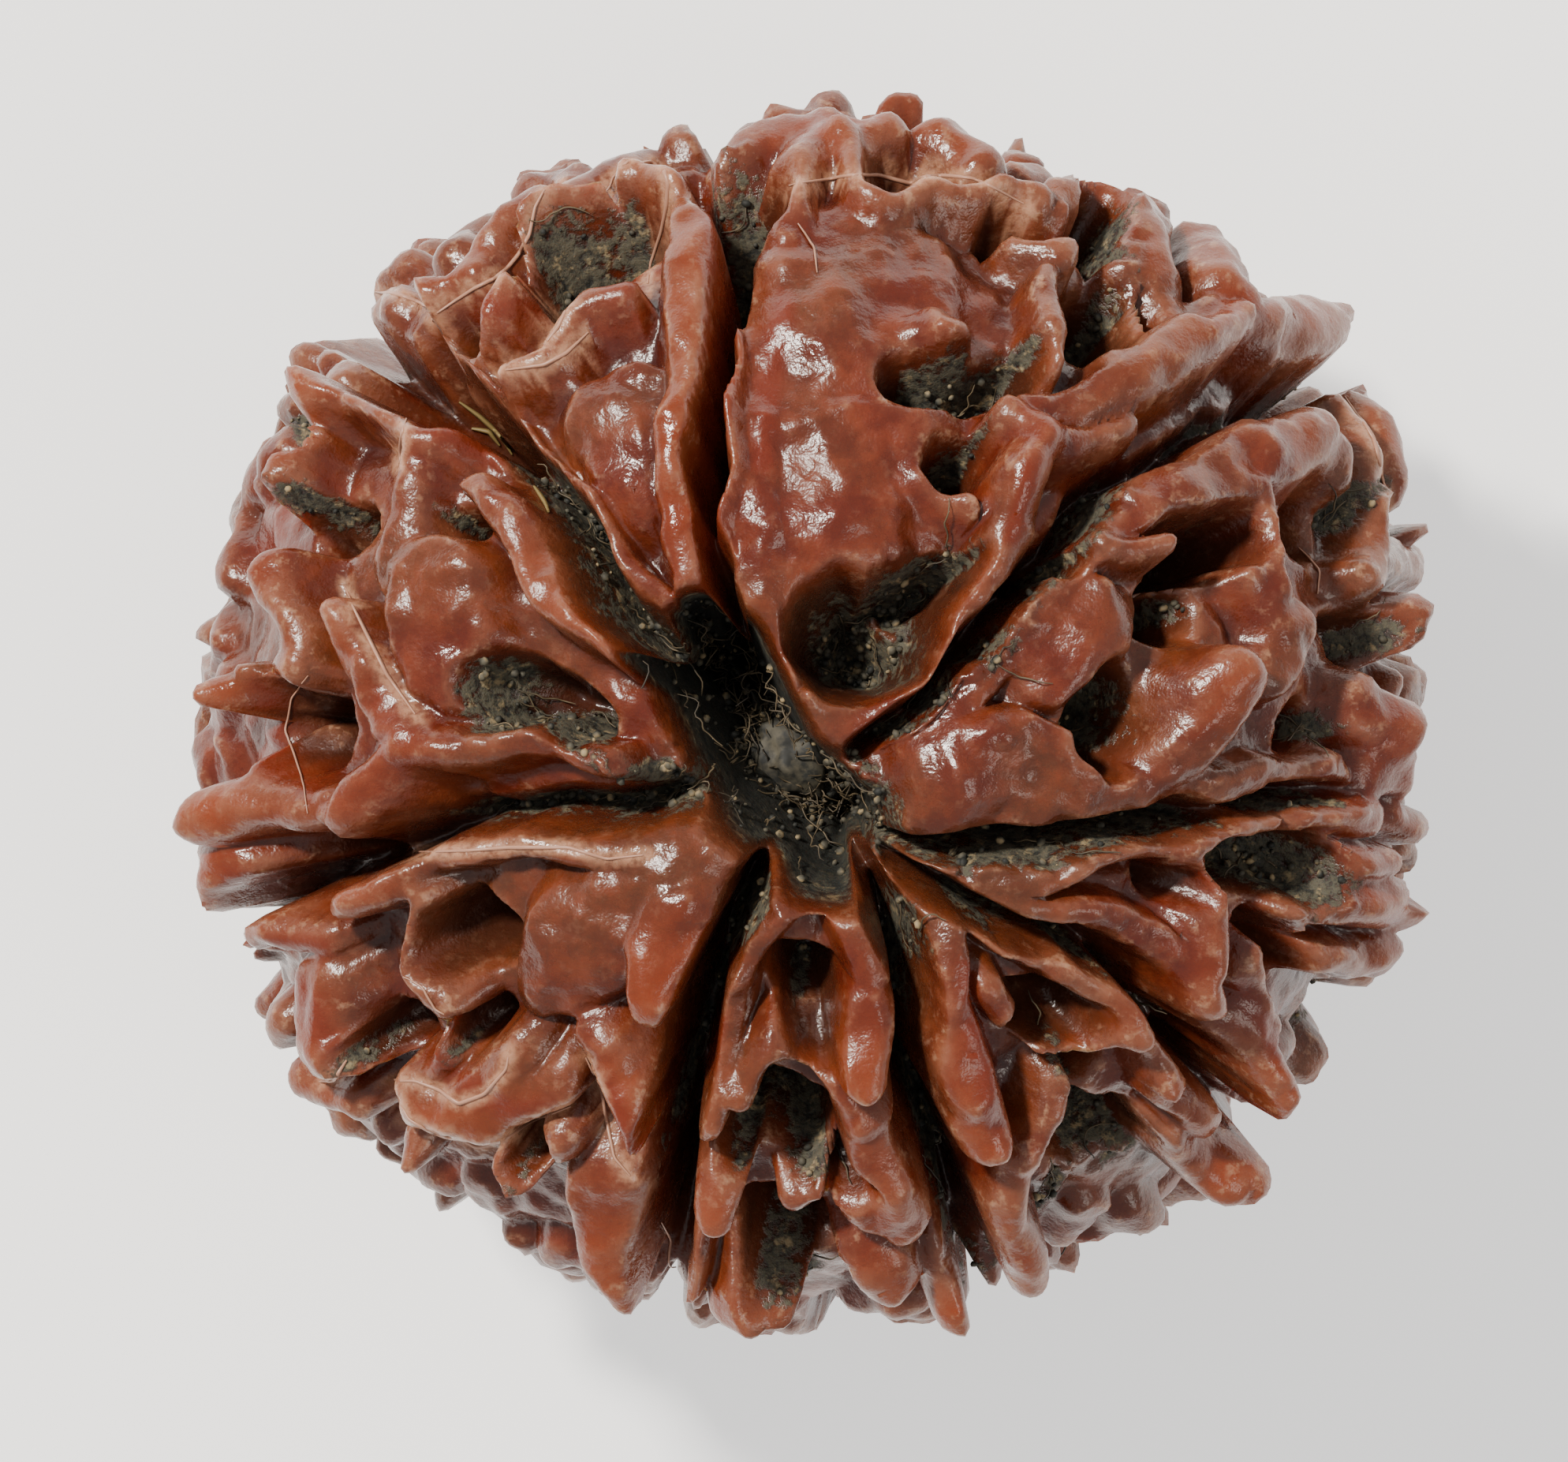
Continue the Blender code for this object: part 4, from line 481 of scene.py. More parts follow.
def under_drawing(x, y, rise):
    """The skin point whose form of this height has its top behind the drawn point x, y."""
    right, upward, _ = sheet_axes()
    wanted = np.array([float(x), float(y)])
    aim = wanted.copy()
    for _ in range(AIMING_STEPS):
        place = skin_behind(*aim)
        top = place + rise * push_directions(place[None])[0]
        aim += wanted - (top @ right, top @ upward)
    return place


print("skin behind the sheet's middle:", np.round(skin_behind(0.0, 0.0), 2))

# %% [markdown]
# ## Lines that carry height
#
# Every fold, tip, pit and seam is the same thing to the carver: a line over the skin, and a height
# that falls off on both sides of it. The heights of neighbouring folds are joined with a high
# power, which keeps the taller one and rounds the valley between them.

# %% Distance to a line, and the height of a chain
def nearest_on_piece(points, start, end):
    """Distance from each point to a straight piece, and how far along the piece the nearest place is."""
    along = end - start
    length = max(float(along @ along), 1e-9)
    share = np.clip((points - start) @ along / length, 0.0, 1.0)
    return np.linalg.norm(points - start - share[:, None] * along, axis=1), share


def chain_height(points, chain, foot):
    """Height over each skin point of a chain of (place, rise, half width): a dome with a soft foot."""
    height = np.zeros(len(points))
    middle = np.mean([node[0] for node in chain], axis=0)
    reach = max(np.linalg.norm(node[0] - middle) + node[2] for node in chain)
    near = np.flatnonzero(np.sum((points - middle) ** 2, axis=1) < reach * reach)
    pieces = list(zip(chain, chain[1:])) or [(chain[0], chain[0])]
    for (start, rise_a, width_a), (end, rise_b, width_b) in pieces:
        distance, share = nearest_on_piece(points[near], start, end)
        rise = rise_a + share * (rise_b - rise_a)
        width = width_a + share * (width_b - width_a)
        across = np.clip(distance / width, 0.0, 1.0)
        dome = np.sqrt(1.0 - across * across) * smooth(foot * (1.0 - across))
        height[near] = np.maximum(height[near], rise * dome)
    return height


def union_height(points, chains, foot):
    """Heights of many chains at once, run softly into each other."""
    total = np.zeros(len(points))
    for chain in chains:
        total += chain_height(points, chain, foot) ** JOIN_SHARPNESS
    return total ** (1.0 / JOIN_SHARPNESS)


def eased(chain):
    """The chain with more points along it, on a smooth curve through its own."""
    if len(chain) < 3:
        return chain
    ends = [chain[0]] + list(chain) + [chain[-1]]
    rows = [np.append(place, (rise, width)) for place, rise, width in ends]
    found = []
    for before, start, end, after in zip(rows, rows[1:], rows[2:], rows[3:]):
        for step in range(CURVE_STEPS):
            t = step / CURVE_STEPS
            found.append(0.5 * (
                2.0 * start + (end - before) * t + (2.0 * before - 5.0 * start + 4.0 * end - after) * t ** 2
                + (3.0 * start - before - 3.0 * end + after) * t ** 3
            ))
    found.append(rows[-1])
    return [(row[:3], row[3], row[4]) for row in found]


def raised_chains():
    """The drawn folds, knobs and tips laid on the skin, each with its top where it is drawn."""
    chains = []
    for nodes in RAISED.values():
        chains.append(eased([(under_drawing(x, y, rise), rise, width) for x, y, rise, width in nodes]))
    return chains


def sunk_chains():
    """The drawn pits laid on the skin, each with its mouth where it is drawn."""
    chains = []
    for nodes in SUNK.values():
        chains.append(eased([(under_drawing(x, y, PIT_BANK), depth, width) for x, y, depth, width in nodes]))
    return chains


print(sum(len(chain) for chain in raised_chains()), "points on the raised chains")

# %% [markdown]
# ## The seams
#
# The eight seams start in the sunken pole, cross the crown as drawn, and run down the side to the
# lower pole with a gentle swing.

# %% Seam lines and the distance to them
def seam_lines():
    """Each seam from the upper hollow, over the drawn crown and down the side to the lower hollow."""
    draw = random.Random(UNDERSIDE_SEED)
    lines = []
    for drawn in SEAMS:
        line = [under_drawing(x, y, SEAM_BANK) for x, y in drawn]
        azimuth, polar = direction_angles(line[-1])
        start_azimuth, _ = direction_angles(line[0])
        line.insert(0, skin_point(start_azimuth, HOLLOW_POLAR))
        bend = draw.uniform(-SEAM_BEND, SEAM_BEND)
        for step in range(1, SIDE_SEAM_STEPS + 1):
            share = step / SIDE_SEAM_STEPS
            swing = bend * math.sin(share * math.pi)
            line.append(skin_point(azimuth + swing, polar + share * (math.pi - HOLLOW_POLAR - polar)))
        lines.append(line)
    return lines


def seam_distance(points, lines):
    """Distance from each point to the nearest seam, as a share of its half width and plain, and its depth."""
    nearest = np.full(len(points), 1e9)
    share = np.full(len(points), 1e9)
    depth = np.zeros(len(points))
    for line, half_width, seam_depth in zip(lines, SEAM_HALF_WIDTHS, SEAM_DEPTHS):
        for start, end in zip(line, line[1:]):
            distance = nearest_on_piece(points, start, end)[0]
            depth = np.where(distance / half_width < share, seam_depth, depth)
            nearest = np.minimum(nearest, distance)
            share = np.minimum(share, distance / half_width)
    return share, nearest, depth


def seam_azimuth(line, polar):
    """Azimuth of a seam where it is nearest to a polar angle."""
    places = [direction_angles(point) for point in line]
    return min(places, key=lambda place: abs(place[1] - polar))[0]


def horizon(azimuth):
    """Angle from the upper pole at which the sheet's view of the bead ends."""
    lean = math.sin(SHEET_LEAN_BACK) * math.sin(azimuth) + math.sin(SHEET_LEAN_RIGHT) * math.cos(azimuth)
    return math.pi / 2.0 + math.asin(lean)


print("points on the seams:", [len(line) for line in seam_lines()])

# %% [markdown]
# ## The side and the underside
#
# A photograph from above doesn't show them. A real bead carries the same kind of tubercles all the
# way down, so rows of short knobs are set on each face, tied by low folds, with pits between them.
# A seeded draw places them, so each run gives the same bead.

# %% Rows of tubercles, pits and lips
def tubercle(draw, azimuth, polar, rise):
    """A knob with a short tail running down from it."""
    width = draw.uniform(*TUBERCLE_HALF_WIDTH)
    place = skin_point(azimuth, polar + draw.uniform(-ROW_SLACK, ROW_SLACK))
    tail = skin_point(azimuth + draw.uniform(-TAIL, TAIL), polar + draw.uniform(0.5 * TAIL, TAIL))
    return [(tail, TAIL_SHARE * rise, TAIL_SHARE * width), (place, rise, width)]


def side_pit(draw, azimuth, polar):
    """A short pit, longer down the bead than across it."""
    depth = draw.uniform(*SIDE_PIT_DEPTH)
    upper = skin_point(azimuth, polar - draw.uniform(0.5 * TAIL, TAIL))
    lower = skin_point(azimuth, polar + draw.uniform(0.0, TAIL))
    return [(upper, depth, SIDE_PIT_HALF_WIDTH), (lower, depth, SIDE_PIT_HALF_WIDTH)]


def fold_between(start, end):
    """A low fold that ties two tubercles together."""
    return [(start, TIE_RISE, TIE_HALF_WIDTH), (end, TIE_RISE, TIE_HALF_WIDTH)]


def side_chains(lines):
    """Tubercles, folds and pits that the sheet doesn't show, in rows down the side and underside."""
    draw = random.Random(UNDERSIDE_SEED)
    raised, sunk = [], []
    for left_seam, right_seam in zip(lines, lines[1:] + lines[:1]):
        row_above = []
        for row_angle in SIDE_ROWS:
            polar = horizon(seam_azimuth(right_seam, math.pi / 2.0)) + math.radians(row_angle)
            low = seam_azimuth(right_seam, polar)
            wide = (seam_azimuth(left_seam, polar) - low) % (2.0 * math.pi)
            ring = float(skin_radius(polar)) * math.sin(polar)
            count = max(1, round(ring * wide / TUBERCLE_SPACING))
            row = []
            for place in range(count):
                azimuth = low + wide * (place + 0.5 + draw.uniform(-PLACE_SLACK, PLACE_SLACK)) / count
                rise = draw.uniform(*TUBERCLE_RISE) * min(1.0, (row_angle + ROW_START) / FULL_ROW)
                rise = RESTING_RISE if row_angle == SIDE_ROWS[-1] else rise
                raised.append(tubercle(draw, azimuth, polar, rise))
                row.append(raised[-1][-1][0])
                sunk.append(side_pit(draw, azimuth + 0.5 * wide / count, polar))
            for top in row:
                if row_above:
                    nearest = min(row_above, key=lambda other: np.linalg.norm(other - top))
                    raised.append(fold_between(nearest, top))
            for left, right in zip(row, row[1:]):
                if draw.random() < TIED_SHARE:
                    raised.append(fold_between(left, right))
            row_above = row
    return raised, sunk


def gaping_chains(lines):
    """The two seams that gape where they pass over the sheet's horizon, and a little way down the side."""
    chains = []
    for seam, depth in GAPING_SEAMS.items():
        passing = lines[seam][-SIDE_SEAM_STEPS - 1:-SIDE_SEAM_STEPS + 2]
        chains.append([(place, depth, GAPE_HALF_WIDTH) for place in passing])
    return chains


def cleft_chains():
    """Clefts between the spines where the sheet's view of the bead ends, which break its outline."""
    chains = []
    for degrees, depth in SIDE_CLEFTS:
        azimuth = math.radians(degrees)
        upper = skin_point(azimuth, horizon(azimuth) + CLEFT_TOP)
        lower = skin_point(azimuth, horizon(azimuth) + CLEFT_END)
        chains.append([(upper, depth, CLEFT_HALF_WIDTH), (lower, depth, CLEFT_HALF_WIDTH)])
    return chains


def lip_chains(lines):
    """The low broken lips that stand along both banks of each seam on the side and underside."""
    draw = random.Random(UNDERSIDE_SEED)
    raised = []
    for line in lines:
        places = [direction_angles(point) for point in line]
        for bank in (-LIP_OFFSET, LIP_OFFSET):
            lip = []
            for azimuth, polar in places[:-1]:
                if polar > LIP_POLAR:
                    ring = float(skin_radius(polar)) * math.sin(polar)
                    place = skin_point(azimuth + bank / ring, polar)
                    lip.append((place, draw.uniform(*LIP_RISE), LIP_HALF_WIDTH))
            raised.append(lip)
    return raised


print(len(side_chains(seam_lines())[0]), "folds and tubercles below the sheet's horizon")

# %% [markdown]
# ## The blank
#
# The bead before carving is a ring: an even skin outside and the string hole through it. A ring
# has no poles where faces crowd together, so a profile is drawn once and spun round the axis.
# The profile's points lie closer on the upper half, which the camera sees. Many small spin steps
# are slow, so the spin takes few, its rings are cut finer, and the new points go out to the skin.

# %% Spin the blank
SPIN_STEPS = 70
SPIN_CUTS = 7
UPPER_STEPS = 190
LOWER_STEPS = 110
HOLE_STEPS = 14
ROUND_OFF = 0.00001
PIECE_TRIANGLES = 190000


def outline_polars():
    """Angles down from the upper pole of the profile's points, closer together on the upper half."""
    half = math.pi / 2.0
    upper = [RIM_POLAR + (half - RIM_POLAR) * step / UPPER_STEPS for step in range(UPPER_STEPS)]
    lower = [half + (half - RIM_POLAR) * step / LOWER_STEPS for step in range(LOWER_STEPS + 1)]
    return upper + lower


def turned_blank():
    """The bead before carving: a ring spun round the string hole, with its even skin outside."""
    places = []
    for polar in outline_polars():
        radius = float(skin_radius(polar))
        places.append((radius * math.sin(polar), 0.0, radius * math.cos(polar)))
    rim = places[-1]
    for step in range(1, HOLE_STEPS):
        places.append((rim[0], 0.0, rim[2] * (1.0 - 2.0 * step / HOLE_STEPS)))
    shape = bmesh.new()
    profile = [shape.verts.new(place) for place in places]
    edges = [shape.edges.new((start, end)) for start, end in zip(profile, profile[1:] + profile[:1])]
    bmesh.ops.spin(
        shape, geom=profile + edges, cent=(0, 0, 0), axis=(0, 0, 1), angle=2.0 * math.pi,
        steps=SPIN_STEPS, use_merge=True
    )
    rings = [edge for edge in shape.edges if abs(edge.verts[0].co.z - edge.verts[1].co.z) < ROUND_OFF]
    bmesh.ops.subdivide_edges(shape, edges=rings, cuts=SPIN_CUTS, use_grid_fill=True)
    for vertex in shape.verts:
        radius = float(skin_radius(vertex.co.angle(Vector((0.0, 0.0, 1.0)))))
        if vertex.co.length > radius - SKIN_SLACK:
            vertex.co *= radius / vertex.co.length
    bmesh.ops.recalc_face_normals(shape, faces=shape.faces[:])
    mesh = bpy.data.meshes.new("bead_skin")
    shape.to_mesh(mesh)
    shape.free()
    return mesh


skin_mesh = turned_blank()
print("blank:", len(skin_mesh.vertices), "points")

# %% [markdown]
# ## Low knobs under the crown's tips
#
# The crown's outermost tips stand out over a band of skin that the sheet doesn't show. On a real
# bead small knobs go on there too, so three uneven rows of them fill the band. They are low, and
# each has a tail, so they run into the folds above and below. A fixed seed keeps them in place.

# %% Knobs in the hidden band
BAND_ROWS = (-14.0, -7.0, 0.0)
BAND_SPACING = 1.9
BAND_RISE = (0.35, 0.75)
BAND_HALF_WIDTH = (0.55, 0.85)
BAND_SLACK = 3.0
BAND_SEED = 12


def band_chains():
    """Low knobs in rows near the sheet's horizon, by degrees below it."""
    draw = random.Random(BAND_SEED)
    count = round(2.0 * math.pi * EQUATOR_RADIUS / BAND_SPACING)
    chains = []
    for row in BAND_ROWS:
        for number in range(count):
            azimuth = 2.0 * math.pi * (number + draw.random()) / count
            polar = horizon(azimuth) + math.radians(row + draw.uniform(-BAND_SLACK, BAND_SLACK))
            rise, width = draw.uniform(*BAND_RISE), draw.uniform(*BAND_HALF_WIDTH)
            tail = skin_point(azimuth + draw.uniform(-TAIL, TAIL), polar + draw.uniform(0.3 * TAIL, TAIL))
            chains.append([
                (skin_point(azimuth, polar), rise, width), (tail, TAIL_SHARE * rise, TAIL_SHARE * width),
            ])
    return chains


print(len(band_chains()), "low knobs")

# %% [markdown]
# ## Carving
#
# Each point of the blank is moved once: out along the folds, in along the seams and pits. The
# carver also keeps how much of each it found there. These amounts are saved on the mesh later, so
# that the finish knows where a pit or a seam is.

# %% The carver
RIPPLES = ((0.09, 1.0), (0.05, 0.45))
CRUST_HEIGHT = 0.3
CRUST_LENGTH = 0.4
FULL_PIT = 1.0
FULL_RISE = 1.8


def wave(points):
    """The waxy skin's own slow waves."""
    waves = [noise.fractal(Vector(point) / WAVE_LENGTH, 1.0, 2.0, 3) for point in points]
    return np.array(waves) * WAVE_HEIGHT


def wandered(points):
    """The points moved about a little, so that nothing carved by them runs straight."""
    noise.seed_set(WANDER_SEED)
    large = np.array([noise.noise_vector(Vector(point) / WANDER_LENGTH) for point in points])
    small = np.array([noise.noise_vector(Vector(point) / SMALL_WANDER_LENGTH) for point in points])
    return points + WANDER * large + SMALL_WANDER * small


def hollow_depth(points):
    """How far the ends of the hole are sunk: a short slot at the top, a round hollow below."""
    slot = np.full(len(points), 1e9)
    for start, end in zip(HOLLOW_LINE, HOLLOW_LINE[1:]):
        slot = np.minimum(slot, nearest_on_piece(points[:, :2], np.array(start), np.array(end))[0])
    upper = HOLLOW_DEPTH * np.exp(-((slot / HOLLOW_HALF_WIDTH) ** 4))
    ring = np.hypot(points[:, 0], points[:, 1])
    lower = LOWER_HOLLOW_DEPTH * np.exp(-((ring / HOLLOW_HALF_WIDTH) ** 2))
    return np.where(points[:, 2] > 0.0, upper, lower)


def fine_relief(points, length):
    """Small round bumps of one size, from -1 to 1."""
    return np.array([noise.fractal(Vector(point) / length, 1.0, 2.0, 2) for point in points])


def carve(points):
    """Moves the blank's points to the finished surface, and tells what was found at each."""
    ring = np.hypot(points[:, 0], points[:, 1])
    span = np.linalg.norm(points, axis=1)
    outward = points / span[:, None]
    outside = span > skin_radius(np.arccos(outward[:, 2])) - SKIN_SLACK
    lines = seam_lines()
    places = wandered(points)
    side_raised, side_sunk = side_chains(lines)
    side_raised += lip_chains(lines) + band_chains()
    raised = union_height(places, raised_chains() + side_raised, FOLD_FOOT)
    breaks = gaping_chains(lines) + cleft_chains()
    sunk = union_height(places, sunk_chains() + side_sunk + breaks, PIT_FOOT)
    share, gap, depth = seam_distance(places, lines)
    open_skin = smooth((share - SEAM_CLEAR) / (1.0 - SEAM_CLEAR))
    seam = depth * (1.0 - smooth(share)) * smooth((ring - HOLE_RADIUS) / SEAM_RUN_OUT)
    seam += SHOULDER_DEPTH * (1.0 - smooth(gap / SHOULDER_HALF_WIDTH))
    near_hole = smooth((ring - HOLE_RADIUS) / HOLE_RADIUS)
    dirt = dirt_cover(places, np.clip(sunk / FULL_PIT, 0.0, 1.0), 1.0 - smooth(share))
    ripple = sum(height * fine_relief(points, length) for height, length in RIPPLES)
    crust = CRUST_HEIGHT * dirt * fine_relief(points, CRUST_LENGTH)
    push = push_directions(points)
    shape = push * (raised * open_skin)[:, None] - outward * (sunk + seam - wave(points))[:, None]
    shape += outward * (ripple + crust)[:, None]
    moved = points + shape * (near_hole * outside)[:, None]
    moved += (places - points) * (1.0, 1.0, 0.0) * (1.0 - near_hole)[:, None]
    rim_height = float(skin_radius(RIM_POLAR)) * math.cos(RIM_POLAR)
    sunk_ends = hollow_depth(points)
    moved[:, 2] -= sunk_ends * np.clip(points[:, 2] / rim_height, -1.0, 1.0)
    found = {
        "dirt": np.maximum(dirt, smooth(sunk_ends / HOLLOW_FULL)),
        "pit": np.clip(sunk / FULL_PIT, 0.0, 1.0),
        "seam": (1.0 - smooth(share)) * outside,
        "rise": np.clip(raised * open_skin / FULL_RISE, 0.0, 1.0),
        "hollow": np.maximum(smooth(sunk_ends / HOLLOW_FULL), 1.0 - outside),
    }
    return moved, found

# %% [markdown]
# ## Where dirt has settled
#
# Old dust, wax and fruit flesh stay in the pits, in the seams near the pole and in the sunken pole
# itself. These places are drawn on the same sheet, as chains of points with a half width. Below
# the sheet's horizon, where nothing is drawn, dirt follows the pits and seams themselves.

# %% The dirty places
# Dirty places of the crown on the same sheet: x, y, half width
DIRTY = {
    "sunken_pole": [(-1.6, 0.9, 0.62), (-1, -0.5, 0.77), (-0.3, -1.8, 0.77), (0.5, -2.5, 0.54)],
    "pole_right_wall": [(0.7, -0.8, 0.46), (1.3, -1.5, 0.62), (1.7, -2.7, 0.56)],
    "pole_left_wall": [(-2.4, -1.2, 0.62), (-3.2, -0.8, 0.4), (-4.2, -0.2, 0.4)],
    "seam_8_bed": [
        (-2.4, 1, 0.49), (-3.4, 2.2, 0.6), (-4.2, 3.4, 0.63), (-5.1, 4.7, 0.56), (-5.9, 5.3, 0.33),
    ],
    "seam_7_bed": [
        (-2.1, -1.6, 0.43), (-3.4, -1.7, 0.41), (-4.9, -1.8, 0.33), (-6.2, -1.9, 0.33),
        (-7.1, -1.9, 0.24),
    ],
    "seam_3_bed": [
        (2, -2.8, 0.33), (3.7, -2.6, 0.37), (5.6, -2.2, 0.33), (7.5, -1.9, 0.24), (9.6, -1.6, 0.22),
    ],
    "seam_2_bed": [(1.7, -0.4, 0.27), (3.3, 0.9, 0.33), (5, 3, 0.35), (6.2, 4.6, 0.28), (8.4, 6, 0.22)],
    "seam_5_bed": [
        (1.9, -3.6, 0.3), (2, -5.3, 0.24), (2.2, -7.8, 0.26), (2.7, -9.4, 0.37), (3.1, -10.9, 0.35),
    ],
    "seam_6_bed": [(-0.6, -3.3, 0.38), (-1.4, -4.4, 0.26), (-2.1, -6.4, 0.24), (-2.6, -8.3, 0.22)],
    "seam_4_bed": [(2.8, -3.6, 0.22), (5.6, -4.7, 0.22), (7.2, -6, 0.22)],
    "face_1_well": [(0.7, 1.8, 0.93), (1.4, 1.3, 1.16), (2, 2.9, 0.77), (2.7, 3.1, 0.62)],
    "face_1_cleft": [(1.9, 6.4, 0.4), (2.8, 6.5, 0.46), (4, 6.7, 0.5)],
    "face_1_cleft_low": [(2.7, 5, 0.46), (3.4, 5.3, 0.43)],
    "face_1_notch": [(-1.3, 10, 0.65), (-1.1, 9.5, 0.62)],
    "face_1_right_well": [(5.5, 9.7, 0.4), (5.8, 8.8, 0.4), (5.9, 7.8, 0.56)],
    "face_1_small": [(4.3, 9.1, 0.28)],
    "face_2_wells": [(10, 3.9, 0.59), (10.4, 4.1, 0.4)],
    "face_2_deep": [(7.3, 2.1, 0.53)],
    "face_2_maroon": [(7.9, 3.4, 0.62)],
    "face_2_rim_well": [(10.6, 1.6, 0.53), (11.1, 1.7, 0.46)],
    "face_2_low_well": [(5.6, -0.4, 0.68), (6.2, 0.4, 0.71), (5.5, 0.5, 0.46)],
    "face_2_far": [(9.8, -0.2, 0.53)],
    "face_3_well": [(8.6, -3, 0.59), (9.5, -2.9, 0.62), (9, -3.5, 0.46)],
    "face_4_well": [
        (4.4, -6.1, 0.37), (5.3, -7.4, 0.4), (5.9, -8.4, 0.65), (5, -8.8, 0.46), (3.6, -10.6, 0.37),
    ],
    "face_5_well": [(0, -5.3, 0.37)],
    "face_5_low": [(-0.5, -10, 0.74), (0, -10.6, 0.62)],
    "face_5_mid": [(-1, -7.7, 0.4), (0.5, -8.1, 0.4)],
    "face_6_wells": [(-6.3, -6, 0.25)],
    "face_6_side": [(-7.8, -6, 0.37)],
    "face_6_low": [(-4.9, -7.9, 0.34)],
    "face_7_rim": [(-5.7, 1, 0.53), (-5.8, 0.2, 0.53), (-4.9, -0.2, 0.53), (-4, -0.5, 0.46)],
    "face_7_small": [(-6.6, 3.9, 0.4)],
    "face_7_left": [(-9.6, 3.7, 0.37), (-8.9, 3.9, 0.43)],
    "face_7_top": [(-9.6, 5.7, 0.34), (-9.4, 5, 0.34)],
    "face_8_well": [(-4.7, 8.5, 0.57), (-4.1, 8.9, 0.73), (-3.3, 9.2, 0.5)],
}
HOLLOW_FULL = 2.4
DIRT_FOOT = 1.2
SEAM_DIRT = 0.75
SIDE_PIT_DIRT = 0.7
DIRT_SIDE = (0.0, 3.0)


def dirt_chains():
    """The drawn dirty places laid on the skin."""
    chains = []
    for nodes in DIRTY.values():
        chains.append(eased([(under_drawing(x, y, 0.0), 1.0, width) for x, y, width in nodes]))
    return chains


def dirt_cover(places, pit, seam):
    """How much of the surface at each place is covered with dirt, from 0 to 1."""
    drawn = np.clip(union_height(places, dirt_chains(), DIRT_FOOT), 0.0, 1.0)
    _, _, towards = sheet_axes()
    low, high = DIRT_SIDE
    unseen = 1.0 - smooth((places @ towards - low) / (high - low))
    settled = np.maximum(SIDE_PIT_DIRT * pit, SEAM_DIRT * seam) * unseen
    return np.maximum(drawn, settled)


print(len(DIRTY), "dirty places drawn")

# %% [markdown]
# ## Painted shade on flanks, and pale films
#
# Some flanks turn away from the light, and the shade on them is painted as a deep red. Along some
# crests the wax has dried to a thin pale film, like the rim of a shell. Both are read off the
# same sheet. Each point of the skin that faces the sheet is given a number for how near it is to
# such a place, seen square through the sheet, and the material reads these numbers.

# %% The places of bare wax and of films
# Places of painted shade on the flanks, in deep red, on the same sheet: x, y, half width
SHADED_FLANKS = {
    "face_8_flank": [
        (-1.8, 10.1, 0.4), (-1.6, 8.8, 0.46), (-1.6, 6.7, 0.5), (-1.8, 4.6, 0.5), (-1.8, 2.4, 0.4),
    ],
    "face_8_wall": [(-6.2, 7.9, 0.37), (-4.9, 7.9, 0.34)],
    "face_8_tongue": [(-3.7, 8.2, 0.4), (-2.9, 8.6, 0.31)],
    "face_7_side": [(-10.4, 0.5, 0.53), (-10.3, -0.7, 0.68), (-9.6, -1.3, 0.37)],
    "face_7_under": [(-10, 4.1, 0.31), (-10.5, 3.3, 0.34)],
    "face_7_back": [(-7.4, 5.7, 0.34), (-6.5, 5.3, 0.4), (-5.9, 4.9, 0.28)],
    "face_6_knuckle": [(-11.1, -3.1, 0.4), (-10.4, -3.3, 0.31)],
    "face_6_spine": [(-10.4, -4.3, 0.31), (-9.3, -4.4, 0.37)],
    "face_6_knob": [(-9.8, -5.1, 0.34), (-9.1, -6.4, 0.46)],
    "face_6_fang": [(-3.8, -7, 0.31), (-3.5, -7.7, 0.4), (-3.3, -8.4, 0.28)],
    "face_6_lip": [(-7.1, -6.6, 0.37), (-5.8, -7.5, 0.31), (-4.9, -7.5, 0.28)],
    "face_5_left": [(-1.6, -5.8, 0.22), (-1.8, -6.7, 0.22)],
    "face_4_flank": [(3.1, -4.8, 0.28), (3.4, -6.4, 0.37), (3.7, -7.8, 0.31)],
    "face_3_edge": [(8.4, -5.2, 0.28), (9.2, -6.4, 0.34)],
    "face_1_left": [(-0.4, 8, 0.37), (-0.7, 6.3, 0.4), (-0.8, 4.9, 0.37)],
    "face_1_knob": [(2.6, 7.3, 0.28)],
    "face_1_right": [(4.4, 4.9, 0.28), (4, 3.5, 0.31)],
}
